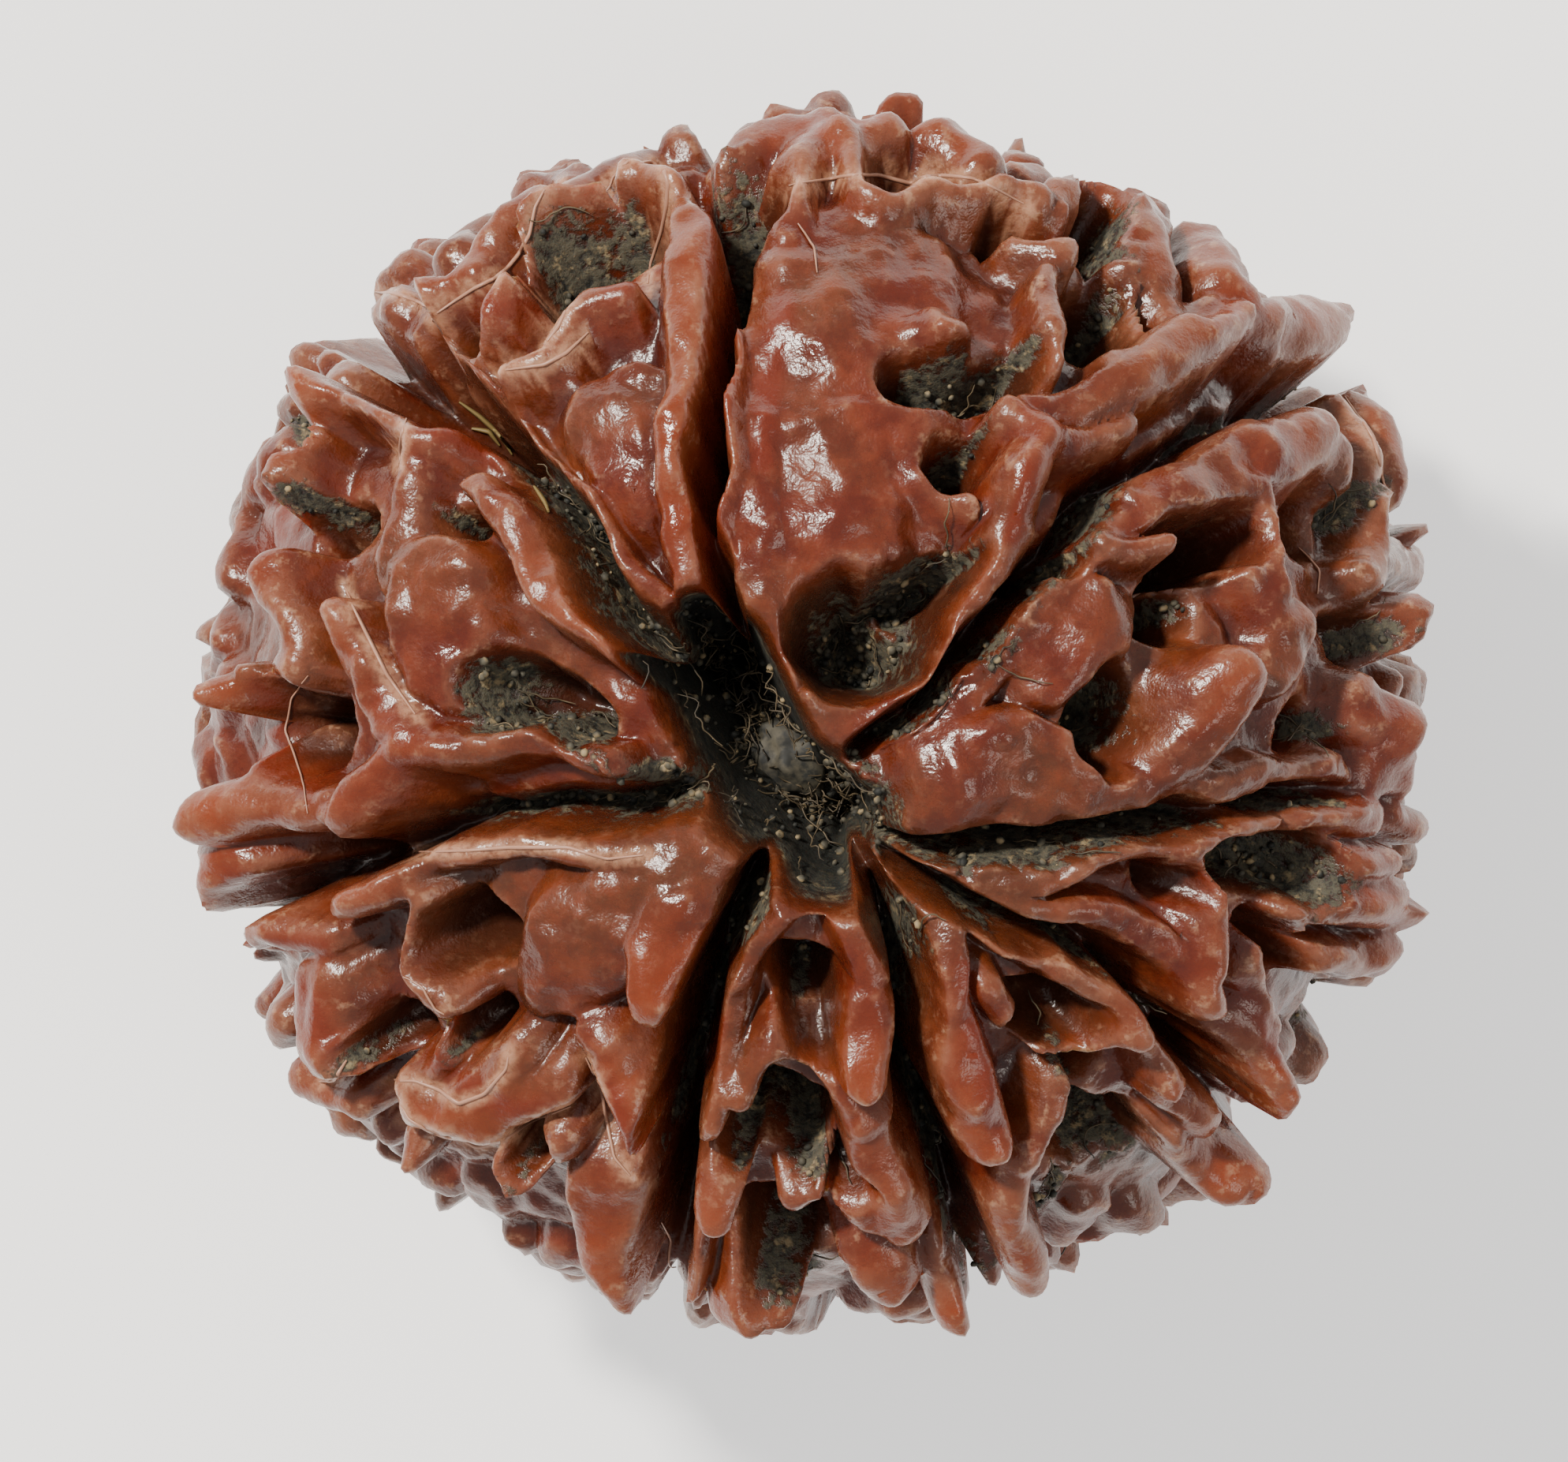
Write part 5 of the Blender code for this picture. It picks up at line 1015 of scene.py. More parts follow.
# Pale films on the crests of the crown, on the same sheet: x, y
FILMS = [
    [
        (-7.23, 7.76), (-6.75, 8.09), (-6.38, 8.32), (-5.86, 8.57), (-5.53, 8.98), (-5.31, 9.36),
        (-5.2, 9.9), (-5, 10.27), (-4.72, 10.49),
    ],
    [
        (-3.83, 10.21), (-3.72, 10.58), (-3.35, 10.8), (-2.97, 10.9), (-2.71, 10.64), (-2.62, 10.32),
        (-2.65, 9.9), (-2.76, 9.42), (-2.97, 8.83), (-3.02, 8.29),
    ],
    [(-4.52, 7.98), (-4.72, 7.54), (-5, 7.17)],
    [(-4.15, 7.43), (-4.57, 7.02), (-5, 6.8), (-5.86, 6.69)],
    [(-8.41, 8.4), (-7.93, 8.29), (-7.5, 8.13), (-7.23, 7.92)],
    [(-7.67, 5.79), (-7.78, 5.25), (-7.82, 4.83)],
    [
        (-0.28, 10.3), (0.65, 10.46), (1.43, 10.53), (2.04, 10.38), (2.66, 10.53), (3.28, 10.46),
        (3.9, 10.15), (4.37, 9.91),
    ],
    [(10.41, 6.63), (11.11, 5.5), (11.46, 4.1)],
    [(-8.88, 2.56), (-8.49, 1.78), (-8.02, 0.85), (-7.4, 0)],
    [
        (-7.95, -6.99), (-7.51, -6.99), (-7.02, -7.17), (-6.66, -7.42), (-6.16, -7.23), (-5.73, -6.74),
        (-5.67, -6.38),
    ],
    [
        (-7.92, -7.23), (-7.64, -7.73), (-7.14, -8.02), (-6.78, -8.09), (-6.35, -8.33), (-5.92, -8.21),
        (-5.31, -7.79), (-4.38, -7.42),
    ],
    [(-7.45, -2.56), (-6.41, -2.52), (-5.67, -2.46), (-4.51, -2.46), (-3.78, -2.68), (-2.97, -2.59)],
    [(-9.42, -7.05), (-9.11, -6.99), (-8.8, -6.51)],
    [(-4.2, -6.51), (-3.9, -7.17), (-3.84, -7.61), (-3.66, -8.46), (-3.28, -8.89)],
]
FILM_HALF_WIDTH = 0.22
COVER_FOOT = 1.3


def sheet_cover(points, chains):
    """How near each point is to chains of (x, y, half width), from 0 to 1, seen square through the sheet."""
    sheet_right, sheet_up, towards = sheet_axes()
    on_sheet = np.column_stack((points @ sheet_right, points @ sheet_up))
    cover = np.zeros(len(points))
    for chain in chains:
        rows = np.array(chain)
        for start, end in zip(rows, rows[1:] if len(rows) > 1 else rows):
            distance, share = nearest_on_piece(on_sheet, start[:2], end[:2])
            width = start[2] + share * (end[2] - start[2])
            cover = np.maximum(cover, smooth(COVER_FOOT * (1.0 - distance / width)))
    return cover * (points @ towards > 0.0)


film_chains = [[(x, y, FILM_HALF_WIDTH) for x, y in line] for line in FILMS]
print(len(SHADED_FLANKS), "bare places and", len(FILMS), "films drawn")

# %% [markdown]
# ## Crests and valleys
#
# Wax is rubbed off crests and dust stays on them as a milky bloom, painted pale, which also stands
# in for their sheen as a painted sheen. Valleys are painted dark red, as painted shade. To know a
# crest from a valley, the mesh is smoothed in memory, and each point is compared
# with its smoothed place. A point that stands out of it is on a crest. A few rounds find sharp
# edges, and many rounds find whole folds.

# %% Compare the skin with a smoothed copy
EDGE_ROUNDS = 5
FOLD_ROUNDS = 70
EDGE_FULL = 0.045
FOLD_FULL = 0.55


def standing_out(mesh, points, rounds):
    """How far each point stands out of the surface after some rounds of smoothing, in millimetres."""
    ends = np.empty(len(mesh.edges) * 2, dtype=np.int64)
    mesh.edges.foreach_get("vertices", ends)
    first, second = ends.reshape(-1, 2).T
    count = np.bincount(ends, minlength=len(points))[:, None]
    even = points.copy()
    for _ in range(rounds):
        total = np.zeros_like(even)
        for axis in range(3):
            total[:, axis] = np.bincount(first, even[second, axis], len(points))
            total[:, axis] += np.bincount(second, even[first, axis], len(points))
        even = 0.5 * even + 0.5 * total / count
    normals = np.empty(len(points) * 3)
    mesh.vertex_normals.foreach_get("vector", normals)
    return np.sum((points - even) * normals.reshape(-1, 3), axis=1)


# %% [markdown]
# ## The finished skin
#
# The blank's points are carved, and what was found is saved as attributes, one number a point. The
# even grid has too many faces on flat parts, so the mesh is thinned where it is flat. Last, the
# lowest tips are rubbed flat in the plane that the bead rests in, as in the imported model.

# %% Carve, mark, thin and rest the skin
def take_mesh(source):
    """The object's mesh with its modifiers applied. The object is removed."""
    graph = bpy.context.evaluated_depsgraph_get()
    mesh = bpy.data.meshes.new_from_object(source.evaluated_get(graph))
    bpy.data.objects.remove(source)
    return mesh


def mark(mesh, name, amounts):
    """Saves one number a point on the mesh, for the materials to read."""
    layer = mesh.attributes.new(name, "FLOAT", "POINT")
    layer.data.foreach_set("value", np.clip(amounts, -1.0, 1.0).astype(np.float32))


def rub_flat(mesh):
    """Cuts the lowest tips flat and brings the bead down onto the floor."""
    shape = bmesh.new()
    shape.from_mesh(mesh)
    everything = shape.verts[:] + shape.edges[:] + shape.faces[:]
    bmesh.ops.bisect_plane(
        shape, geom=everything, dist=0.0005,
        plane_co=(0, 0, -MIDDLE_HEIGHT), plane_no=(0, 0, 1), clear_inner=True,
    )
    rims = [edge for edge in shape.edges if edge.is_boundary]
    bmesh.ops.holes_fill(shape, edges=rims)
    bmesh.ops.triangulate(shape, faces=shape.faces[:])
    bmesh.ops.translate(shape, verts=shape.verts[:], vec=(0.0, 0.0, MIDDLE_HEIGHT))
    shape.to_mesh(mesh)
    shape.free()


points = np.empty(len(skin_mesh.vertices) * 3)
skin_mesh.vertices.foreach_get("co", points)
carved, found = carve(points.reshape(-1, 3))
skin_mesh.vertices.foreach_set("co", carved.ravel())
skin_mesh.update()
for name, amounts in found.items():
    mark(skin_mesh, name, amounts)
mark(skin_mesh, "film", sheet_cover(carved, film_chains))
# painted shade: the flanks that turn from the light are marked, to be painted deep red
mark(skin_mesh, "flank_shade", sheet_cover(carved, SHADED_FLANKS.values()))
mark(skin_mesh, "edge", standing_out(skin_mesh, carved, EDGE_ROUNDS) / EDGE_FULL)
mark(skin_mesh, "fold", standing_out(skin_mesh, carved, FOLD_ROUNDS) / FOLD_FULL)
thick = bpy.data.objects.new("thick_skin", skin_mesh)
bpy.context.scene.collection.objects.link(thick)
thin = thick.modifiers.new("fewer faces where flat", "DECIMATE")
thin.ratio = PIECE_TRIANGLES / sum(len(face.vertices) - 2 for face in skin_mesh.polygons)
skin_mesh = take_mesh(thick)
rub_flat(skin_mesh)
skin_mesh.transform(Matrix.Diagonal((MM, MM, MM, 1.0)))
skin_mesh.shade_smooth()
bead = bpy.data.objects.new("bead_skin", skin_mesh)
bpy.context.scene.collection.objects.link(bead)
print("skin:", len(skin_mesh.polygons), "triangles")
print("size:", [round(side / MM, 2) for side in bead.dimensions], "mm")
for name in ("dirt", "pit", "seam", "rise", "hollow", "film", "flank_shade", "edge", "fold"):
    amounts = np.empty(len(skin_mesh.vertices))
    skin_mesh.attributes[name].data.foreach_get("value", amounts)
    print("  ", name, "from", round(float(amounts.min()), 2), "to", round(float(amounts.max()), 2))

# %% [markdown]
# ## Waxed stone
#
# The stone is brick red to brown, and soft wax gives it a broad shine and lets light in a little
# way. The tall spikes are also painted orange, as a painted glow of light through thin wax. Valleys,
# pits, seams and flanks turned from the light are painted darker as painted shade, and the sunken
# pole is painted near black as shade. A milky bloom lies on the crests, partly a painted sheen, and
# pits are filled with rough, grey-green to black dirt. One material does all this: it reads the
# saved amounts for the place of each finish, and noise on Object coordinates for its edges and grain.

# %% Helpers for the materials
def linear(red, green, blue):
    """A colour given from 0 to 255 as a screen shows it, in the renderer's own scale."""
    shown = [channel / 255.0 for channel in (red, green, blue)]
    return [c / 12.92 if c <= 0.04045 else ((c + 0.055) / 1.055) ** 2.4 for c in shown] + [1.0]


def fresh_material(name):
    """A new material, its node tree and its Principled shader."""
    material = bpy.data.materials.new(name)
    material.use_nodes = True
    return material, material.node_tree, material.node_tree.nodes["Principled BSDF"]


def noise_field(tree, size, detail=3.0, roughness=0.55):
    """Noise on Object coordinates, about 0 to 1, with spots of a size in millimetres."""
    where = tree.nodes.new("ShaderNodeTexCoord")
    field = tree.nodes.new("ShaderNodeTexNoise")
    field.inputs["Scale"].default_value = 1.0 / (size * MM)
    field.inputs["Detail"].default_value = detail
    field.inputs["Roughness"].default_value = roughness
    tree.links.new(where.outputs["Object"], field.inputs["Vector"])
    return field.outputs["Fac"]


def amount(tree, name):
    """A number that is saved on the mesh."""
    reader = tree.nodes.new("ShaderNodeAttribute")
    reader.attribute_name = name
    return reader.outputs["Fac"]


def spread(tree, value, low, high, to_low=0.0, to_high=1.0):
    """The value, with low to high stretched to a new range and held at its ends."""
    stretch = tree.nodes.new("ShaderNodeMapRange")
    for place, number in ((1, low), (2, high), (3, to_low), (4, to_high)):
        stretch.inputs[place].default_value = number
    tree.links.new(value, stretch.inputs[0])
    return stretch.outputs[0]


def combine(tree, operation, first, second):
    """Two values, or a value and a number, put through one Math operation."""
    math_node = tree.nodes.new("ShaderNodeMath")
    math_node.operation = operation
    for socket, given in zip(math_node.inputs, (first, second)):
        if isinstance(given, (int, float)):
            socket.default_value = given
        else:
            tree.links.new(given, socket)
    return math_node.outputs[0]


def blend_colours(tree, share, first, second):
    """The first colour where the share is 0, and the second where it is 1."""
    mixer = tree.nodes.new("ShaderNodeMix")
    mixer.data_type = "RGBA"
    tree.links.new(share, mixer.inputs[0])
    for socket, given in zip((mixer.inputs[6], mixer.inputs[7]), (first, second)):
        if isinstance(given, list):
            socket.default_value = given
        else:
            tree.links.new(given, socket)
    return mixer.outputs[2]


# %% The waxed stone's material
BRICK = linear(82, 28, 14)
BROWN = linear(80, 41, 23)
ORANGE_AND_GLOW = linear(128, 52, 18)
FLANK_SHADE_RED = linear(98, 31, 12)
VALLEY_SHADE = linear(54, 19, 14)
BLOOM_AND_SHEEN = linear(124, 80, 58)
DUST = linear(158, 120, 94)
FILM_PALE = linear(172, 128, 100)
STAIN_AND_SHADE = linear(52, 28, 18)
DIRT_DARK_AND_SHADE = linear(25, 26, 22)
DIRT_GREY = linear(74, 69, 55)
DIRT_TAN = linear(138, 120, 88)
HOLLOW_SHADE = linear(22, 23, 19)

stone, tree, shader = fresh_material("waxed_stone")
patches = noise_field(tree, 3.2, 3.0)
mottle = noise_field(tree, 0.8, 5.0, 0.65)
grain = noise_field(tree, 0.2, 4.0, 0.65)
speckle = noise_field(tree, 0.34, 3.0, 0.7)
fold = amount(tree, "fold")
edge = amount(tree, "edge")
base = blend_colours(tree, spread(tree, patches, 0.4, 0.6), BRICK, BROWN)
base = blend_colours(tree, spread(tree, mottle, 0.42, 0.7, 0.0, 0.45), base, ORANGE_AND_GLOW)
# painted glow: the tall tips are painted orange, as light through thin wax would make them
base = blend_colours(tree, spread(tree, amount(tree, "rise"), 0.5, 1.0, 0.0, 0.75), base, ORANGE_AND_GLOW)
# painted shade: the valleys between folds are painted dark maroon
base = blend_colours(tree, spread(tree, fold, 0.0, -0.6, 0.0, 0.95), base, VALLEY_SHADE)
# painted shade: pits and seams are painted dark brown, more where they are deeper
sunk = combine(tree, "MAXIMUM", amount(tree, "pit"), amount(tree, "seam"))
base = blend_colours(tree, spread(tree, sunk, 0.25, 0.95, 0.0, 0.75), base, STAIN_AND_SHADE)
# partly dust bloom and partly painted sheen: crests and folds are painted a pale, milky colour
bloom_and_sheen = combine(tree, "ADD", spread(tree, fold, 0.2, 1.0, 0.0, 0.4), spread(tree, edge, 0.2, 1.0, 0.0, 0.5))
bloom_and_sheen = combine(tree, "MULTIPLY", bloom_and_sheen, spread(tree, mottle, 0.3, 0.66))
base = blend_colours(tree, bloom_and_sheen, base, BLOOM_AND_SHEEN)
dusty = spread(tree, speckle, 0.55, 0.7, 0.0, 0.7)
dusty = combine(tree, "MULTIPLY", spread(tree, edge, 0.2, 1.0, 0.12, 1.0), dusty)
base = blend_colours(tree, dusty, base, DUST)
# painted shade: the flanks turned from the light are painted deep red
base = blend_colours(tree, spread(tree, amount(tree, "flank_shade"), 0.0, 1.0, 0.0, 0.75), base, FLANK_SHADE_RED)
pale = combine(tree, "MULTIPLY", amount(tree, "film"), spread(tree, grain, 0.35, 0.55, 0.25, 0.85))
base = blend_colours(tree, pale, base, FILM_PALE)

# %% The dirt on the stone
soil = blend_colours(tree, spread(tree, grain, 0.4, 0.56), DIRT_DARK_AND_SHADE, DIRT_GREY)
soil = blend_colours(tree, spread(tree, speckle, 0.56, 0.68, 0.0, 0.85), soil, DIRT_TAN)
# painted shade: the dirt is painted darker where it lies in valleys
soil = blend_colours(tree, spread(tree, fold, -0.1, -0.9, 0.0, 0.7), soil, DIRT_DARK_AND_SHADE)
# painted shade: the sunken pole and the inside of the string hole are painted near black
soil = blend_colours(tree, spread(tree, amount(tree, "hollow"), 0.35, 1.0, 0.0, 0.9), soil, HOLLOW_SHADE)
ragged = combine(tree, "ADD", amount(tree, "dirt"), spread(tree, mottle, 0.32, 0.68, -0.5, 0.5))
ragged = combine(tree, "ADD", ragged, spread(tree, grain, 0.32, 0.68, -0.3, 0.3))
ragged = combine(tree, "SUBTRACT", ragged, spread(tree, fold, 0.0, 0.5, 0.0, 0.9))
# painted shade: the whole sunken pole takes the soil colour, which is near black there
ragged = combine(tree, "MAXIMUM", ragged, amount(tree, "hollow"))
within = spread(tree, combine(tree, "MAXIMUM", amount(tree, "dirt"), amount(tree, "hollow")), 0.03, 0.3)
stained = combine(tree, "MULTIPLY", spread(tree, ragged, -0.15, 0.45, 0.0, 0.75), within)
base = blend_colours(tree, stained, base, STAIN_AND_SHADE)
dirty = combine(tree, "MULTIPLY", spread(tree, ragged, 0.25, 0.7), within)
base = blend_colours(tree, dirty, base, soil)
tree.links.new(base, shader.inputs["Base Color"])

# %% Shine, glow and grain
gloss = spread(tree, mottle, 0.35, 0.65, 0.18, 0.34)
gloss = combine(tree, "ADD", gloss, combine(tree, "MULTIPLY", dirty, 0.5))
tree.links.new(gloss, shader.inputs["Roughness"])
shader.inputs["Metallic"].default_value = 0.0
shader.inputs["Specular IOR Level"].default_value = 0.42
shader.inputs["Subsurface Weight"].default_value = 0.22
shader.inputs["Subsurface Radius"].default_value = (1.0, 0.32, 0.16)
shader.inputs["Subsurface Scale"].default_value = 0.7 * MM
wrinkles = combine(tree, "ADD", speckle, combine(tree, "MULTIPLY", grain, 0.4))
rough_dirt = combine(tree, "MULTIPLY", dirty, combine(tree, "MULTIPLY", grain, 2.2))
bump = tree.nodes.new("ShaderNodeBump")
bump.inputs["Distance"].default_value = 0.09 * MM
bump.inputs["Strength"].default_value = 0.35
tree.links.new(combine(tree, "ADD", wrinkles, rough_dirt), bump.inputs["Height"])
tree.links.new(bump.outputs["Normal"], shader.inputs["Normal"])
bead.data.materials.append(stone)
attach(bead, "root")
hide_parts("rudraksha_bead")
print("waxed stone:", len(tree.nodes), "nodes")

# %% [markdown]
# ## Crumbs and fibres in the pits
#
# The dirt isn't smooth. It holds crumbs of dried flesh and dust, and the torn ends of the fruit's
# fibres, which catch the light as pale threads. Crumbs are tiny jittered balls, and fibres are
# thin curve tubes that creep over the skin. Both start at points where the skin is marked as
# dirty, so they can't miss the pits, and both are real geometry.

# %% Find the dirty points of the skin
CRUMBS = 4200
CRUMB_SIZES = (0.03, 0.12)
CRUMB_SQUASH = 0.6
CRUMB_SHOW = 0.3
HEAP = 60
FIBRES = 620
FIBRE_STEPS = (4, 9)
FIBRE_STEP = 0.17
FIBRE_CURL = 0.7
FIBRE_LIFT = (0.0, 0.16)
FIBRE_RADIUS = 0.016
POLE_FIBRES = 160
POLE_FIBRE_LIFT = (0.0, 0.4)
POLE_DEEP = 0.35
DRESS_SEED = 21

skin_finder = BVHTree.FromObject(bead, bpy.context.evaluated_depsgraph_get())
dirt_marks = np.empty(len(skin_mesh.vertices))
skin_mesh.attributes["dirt"].data.foreach_get("value", dirt_marks)
fold_marks = np.empty(len(skin_mesh.vertices))
skin_mesh.attributes["fold"].data.foreach_get("value", fold_marks)
hollow_marks = np.empty(len(skin_mesh.vertices))
skin_mesh.attributes["hollow"].data.foreach_get("value", hollow_marks)
dirty_points = np.flatnonzero((dirt_marks > 0.6) & (fold_marks < 0.2))
print(len(dirty_points), "of", len(dirt_marks), "points are dirty")


# %% Crumbs
def add_crumb(shape, draw):
    """Adds a tiny squashed ball, half sunk in the skin at a dirty point."""
    vertex = skin_mesh.vertices[int(draw.choice(dirty_points))]
    size = MM * draw.uniform(*CRUMB_SIZES)
    squash = Matrix.Diagonal((1.0, draw.uniform(CRUMB_SQUASH, 1.0), draw.uniform(CRUMB_SQUASH, 1.0), 1.0))
    turn = Matrix.Rotation(draw.uniform(0.0, math.pi), 4, Vector((draw.gauss(0, 1), draw.gauss(0, 1), 1.0)))
    place = Matrix.Translation(vertex.co + CRUMB_SHOW * size * vertex.normal)
    bmesh.ops.create_icosphere(shape, subdivisions=1, radius=size, matrix=place @ turn @ squash)


def crumbs_of_dirt(draw):
    """One mesh of many crumbs. They are made in small heaps, because each operator reads its whole mesh."""
    mesh = bpy.data.meshes.new("pit_crumbs")
    everything = bmesh.new()
    for _ in range(CRUMBS // HEAP):
        heap = bmesh.new()
        for _ in range(HEAP):
            add_crumb(heap, draw)
        heap.to_mesh(mesh)
        heap.free()
        everything.from_mesh(mesh)
    everything.to_mesh(mesh)
    everything.free()
    mesh.shade_smooth()
    return mesh


crumbs = bpy.data.objects.new("pit_crumbs", crumbs_of_dirt(random.Random(DRESS_SEED)))
bpy.context.scene.collection.objects.link(crumbs)
earth, tree, shader = fresh_material("pit_dirt")
speckle = noise_field(tree, 0.3, 1.0)
tone = blend_colours(tree, spread(tree, speckle, 0.38, 0.55), DIRT_DARK_AND_SHADE, DIRT_GREY)
tone = blend_colours(tree, spread(tree, speckle, 0.56, 0.66), tone, DIRT_TAN)
tree.links.new(tone, shader.inputs["Base Color"])
shader.inputs["Roughness"].default_value = 0.75
crumbs.data.materials.append(earth)
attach(crumbs, "root")
print("crumbs:", len(crumbs.data.polygons), "triangles")


# %% [markdown]
# ## The plug in the sunken pole
#
# The string hole isn't seen in the photograph, because dried flesh clogs its upper end. Here that is
# one lump: a ball of many faces, flattened, with each point pushed in or out by noise. It sits in
# the mouth of the hole, a little wider than the hole, so no gap shows round it.

# %% The plug
PLUG_RADIUS = 0.85
PLUG_FLATNESS = 0.5
PLUG_HEIGHT = 14.65
PLUG_ROUGHNESS = 0.3
PLUG_GRAIN = 0.45

plug_shape = bmesh.new()
bmesh.ops.create_icosphere(plug_shape, subdivisions=4, radius=PLUG_RADIUS)
for vertex in plug_shape.verts:
    vertex.co *= 1.0 + PLUG_ROUGHNESS * noise.fractal(vertex.co / PLUG_GRAIN, 1.0, 2.0, 4)
    vertex.co.z *= PLUG_FLATNESS
bmesh.ops.translate(plug_shape, verts=plug_shape.verts[:], vec=(0.0, 0.0, PLUG_HEIGHT))
bmesh.ops.scale(plug_shape, verts=plug_shape.verts[:], vec=(MM, MM, MM))
plug_mesh = bpy.data.meshes.new("pole_plug")
plug_shape.to_mesh(plug_mesh)
plug_shape.free()
plug_mesh.shade_smooth()
plug = bpy.data.objects.new("pole_plug", plug_mesh)
bpy.context.scene.collection.objects.link(plug)
flesh, tree, shader = fresh_material("dry_flesh_in_shade")
# partly painted shade: the plug is painted the near-black shade of the hollow, mottled with grey dirt
tone = blend_colours(tree, spread(tree, noise_field(tree, 0.25, 3.0), 0.42, 0.66), HOLLOW_SHADE, DIRT_GREY)
tree.links.new(tone, shader.inputs["Base Color"])
shader.inputs["Roughness"].default_value = 0.7
plug.data.materials.append(flesh)
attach(plug, "root")
print("plug:", len(plug_mesh.polygons), "triangles")


# %% Fibres
def creeping_thread(draw, start, steps, lift):
    """Points of a thread that creeps over the skin from a start point, in metres."""
    place, normal, _, _ = skin_finder.find_nearest(start)
    heading = normal.orthogonal().normalized()
    heading.rotate(Matrix.Rotation(draw.uniform(0.0, 2.0 * math.pi), 3, normal))
    found = []
    for step in range(steps):
        found.append(place + MM * draw.uniform(*lift) * normal)
        heading.rotate(Matrix.Rotation(draw.uniform(-FIBRE_CURL, FIBRE_CURL), 3, normal))
        place, normal, _, _ = skin_finder.find_nearest(place + MM * FIBRE_STEP * heading)
    return found


def thread_object(name, threads, radius):
    """A curve object with one smooth tube for each thread. A thread is thinner at its ends."""
    curve = bpy.data.curves.new(name, "CURVE")
    curve.dimensions = "3D"
    curve.bevel_depth = MM * radius
    curve.bevel_resolution = 0
    curve.resolution_u = 2
    curve.use_fill_caps = True
    for thread in threads:
        spline = curve.splines.new("NURBS")
        spline.points.add(len(thread) - 1)
        spline.order_u = 3
        spline.use_endpoint_u = True
        for number, (point, place) in enumerate(zip(spline.points, thread)):
            point.co = (*place, 1.0)
            point.radius = 0.45 + 0.75 * math.sin(math.pi * (number + 0.5) / len(thread))
    threads_object = bpy.data.objects.new(name, curve)
    bpy.context.scene.collection.objects.link(threads_object)
    return threads_object


draw = random.Random(DRESS_SEED + 1)
fibre_threads = []
for _ in range(FIBRES):
    start = skin_mesh.vertices[int(draw.choice(dirty_points))].co
    fibre_threads.append(creeping_thread(draw, start, draw.randint(*FIBRE_STEPS), FIBRE_LIFT))
pole_points = np.flatnonzero(hollow_marks > POLE_DEEP)
for _ in range(POLE_FIBRES):
    start = skin_mesh.vertices[int(draw.choice(pole_points))].co
    fibre_threads.append(creeping_thread(draw, start, draw.randint(*FIBRE_STEPS), POLE_FIBRE_LIFT))
fibres = thread_object("pit_fibres", fibre_threads, FIBRE_RADIUS)
straw, tree, shader = fresh_material("dry_fibre")
streaks = noise_field(tree, 0.8, 1.0)
shade = blend_colours(tree, spread(tree, streaks, 0.35, 0.6), linear(44, 38, 29), linear(92, 79, 58))
tree.links.new(shade, shader.inputs["Base Color"])
shader.inputs["Roughness"].default_value = 0.6
fibres.data.materials.append(straw)
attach(fibres, "root")
print("fibres:", len(fibre_threads))

# %% [markdown]
# ## Film edges and loose hairs
#
# The edge of a film stands a little proud and catches the light, so a very thin tube is laid along
# each drawn line. A ray through the sheet finds the finished skin, so each lies exactly on its
# crest, half sunk in it. A few loose hairs of the husk are drawn and laid in the same way.

# %% Laying lines on the skin
# Loose hairs on the same sheet: x, y
HAIRS = [
    [(-9.57, 0.85), (-9.93, 0.42), (-10.05, -0.23), (-9.84, -0.77), (-9.65, -1.32), (-9.54, -1.94)],
    [(-7.71, -4.96), (-7.33, -5.19), (-7.09, -5.58), (-6.71, -5.81)],
    [(-2.79, -9.76), (-2.6, -10.15), (-2.66, -10.61), (-2.45, -11)],
    [(-0.12, 9.53), (0.19, 9.06), (0.26, 8.44)],
    [(9.63, 3.33), (10.02, 2.87), (9.94, 2.32)],
]
# Shreds of the husk on the same sheet: x, y
SHREDS = [
    [(-6.71, 6.2), (-6.32, 5.92), (-5.89, 5.53), (-5.62, 5.07)],
    [(-6.47, 5.68), (-6.13, 5.62), (-5.86, 5.27)],
    [(-5.2, 4.45), (-4.97, 4.1), (-4.89, 3.83)],
]
FILM_STEP = 0.12
FILM_RADIUS = 0.042
HAIR_RADIUS = 0.022
HAIR_LIFT = 0.03
SHRED_RADIUS = 0.045
SHEET_DISTANCE = 0.1


def on_skin(x, y):
    """The place on the finished skin behind a point of the sheet, and its normal, in metres."""
    sheet_right, sheet_up, sheet_towards = [Vector(axis) for axis in sheet_axes()]
    start = MM * (x * sheet_right + y * sheet_up + Vector((0.0, 0.0, MIDDLE_HEIGHT)))
    place, normal, _, _ = skin_finder.ray_cast(start + SHEET_DISTANCE * sheet_towards, -sheet_towards)
    return place, normal


def drawn_thread(line, lift):
    """A drawn line laid on the skin, with points close enough to follow its folds."""
    found = []
    for (x, y), (next_x, next_y) in zip(line, line[1:]):
        steps = max(1, round(math.hypot(next_x - x, next_y - y) / FILM_STEP))
        for step in range(steps):
            place, normal = on_skin(x + (next_x - x) * step / steps, y + (next_y - y) * step / steps)
            if place is not None:
                found.append(place + MM * lift * normal)
    return found


films = thread_object("wax_films", [drawn_thread(line, 0.0) for line in FILMS], FILM_RADIUS)
pale_wax, tree, shader = fresh_material("pale_wax")
shader.inputs["Base Color"].default_value = linear(164, 120, 98)
shader.inputs["Roughness"].default_value = 0.4
films.data.materials.append(pale_wax)
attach(films, "root")
print("films:", len(FILMS))
hairs = thread_object("loose_hairs", [drawn_thread(line, HAIR_LIFT) for line in HAIRS], HAIR_RADIUS)
hairs.data.materials.append(pale_wax)
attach(hairs, "root")
print("hairs:", len(HAIRS))

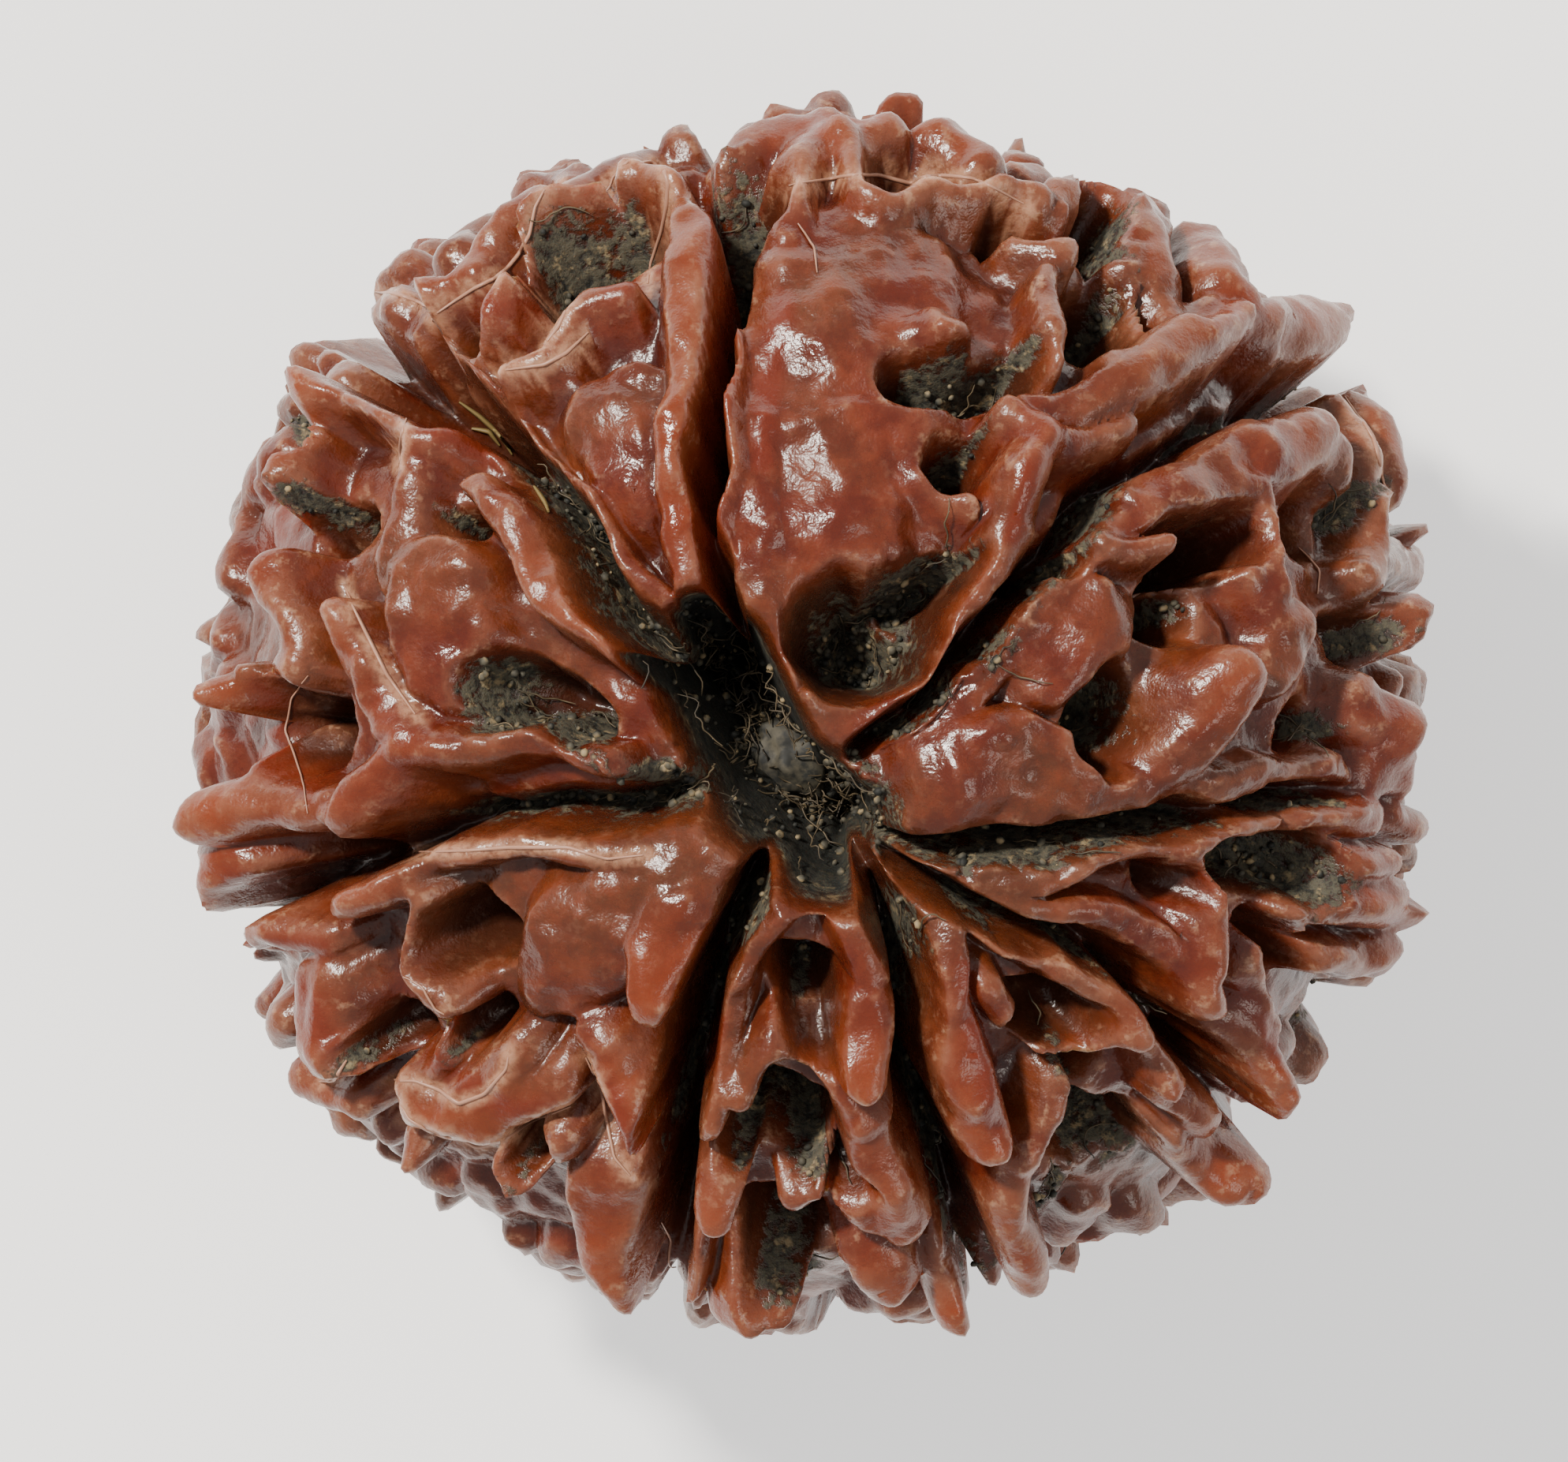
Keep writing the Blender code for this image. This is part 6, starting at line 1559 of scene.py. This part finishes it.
shreds = thread_object("husk_shreds", [drawn_thread(line, HAIR_LIFT) for line in SHREDS], SHRED_RADIUS)
husk, tree, shader = fresh_material("dry_husk")
shader.inputs["Base Color"].default_value = linear(112, 94, 52)
shader.inputs["Roughness"].default_value = 0.6
shreds.data.materials.append(husk)
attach(shreds, "root")
print("shreds:", len(SHREDS))

# %% [markdown]
# ## Floor, light and camera
#
# The bead lies on a plain pale floor. Its shine comes from one large soft light high on the upper
# left, with a weaker one on the right so that the seams don't go black. The camera looks almost
# straight down the string hole, square to the sheet that the crown was drawn on, through a long
# lens that keeps near and far folds at one scale.

# %% Floor
FLOOR_WIDTH = 3.0
floor_shape = bmesh.new()
bmesh.ops.create_grid(floor_shape, x_segments=1, y_segments=1, size=0.5 * FLOOR_WIDTH)
floor_mesh = bpy.data.meshes.new("floor")
floor_shape.to_mesh(floor_mesh)
floor_shape.free()
floor = bpy.data.objects.new("floor", floor_mesh)
bpy.context.scene.collection.objects.link(floor)
paper, tree, shader = fresh_material("pale_paper")
shader.inputs["Base Color"].default_value = linear(244, 244, 243)
shader.inputs["Roughness"].default_value = 0.9
shader.inputs["Emission Color"].default_value = (1.0, 1.0, 1.0, 1.0)
shader.inputs["Emission Strength"].default_value = 0.7
floor.data.materials.append(paper)
floor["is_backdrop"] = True

# %% Light
world = bpy.data.worlds.new("studio")
world.use_nodes = True
world.node_tree.nodes["Background"].inputs["Color"].default_value = (1.0, 1.0, 1.0, 1.0)
world.node_tree.nodes["Background"].inputs["Strength"].default_value = 0.62
bpy.context.scene.world = world


def soft_light(name, place, size, watts):
    """A square soft light, a little warm, that faces the bead."""
    light = bpy.data.lights.new(name, "AREA")
    light.color = (1.0, 0.94, 0.86)
    light.size = size
    light.energy = watts
    holder = bpy.data.objects.new(name, light)
    holder.location = place
    holder.rotation_euler = Vector(place).to_track_quat("Z", "Y").to_euler()
    bpy.context.scene.collection.objects.link(holder)


soft_light("key_softbox", (-0.16, 0.20, 0.30), 0.036, 2.7)
soft_light("fill_softbox", (0.25, -0.10, 0.30), 0.12, 0.3)

# %% Camera
PHOTO_LENS = 409.0
CAMERA_DISTANCE = 0.35
FRAME_SHIFT = (-0.37, -0.18)
right, upward, towards = [Vector(axis) for axis in sheet_axes()]
low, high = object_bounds()
looked_at = Vector((0.0, 0.0, 0.5 * high.z))
looked_at += MM * (FRAME_SHIFT[0] * right + FRAME_SHIFT[1] * upward)
camera_data = bpy.data.cameras.new("camera")
camera_data.lens = PHOTO_LENS
camera_data.sensor_width = 36.0
camera_data.clip_start = 0.01
camera_data.clip_end = 20.0
camera = bpy.data.objects.new("camera", camera_data)
turned = Matrix((right, upward, towards)).transposed().to_4x4()
camera.matrix_world = Matrix.Translation(looked_at + CAMERA_DISTANCE * towards) @ turned
bpy.context.scene.collection.objects.link(camera)
bpy.context.scene.camera = camera
print("camera", round(CAMERA_DISTANCE, 3), "m from the bead")
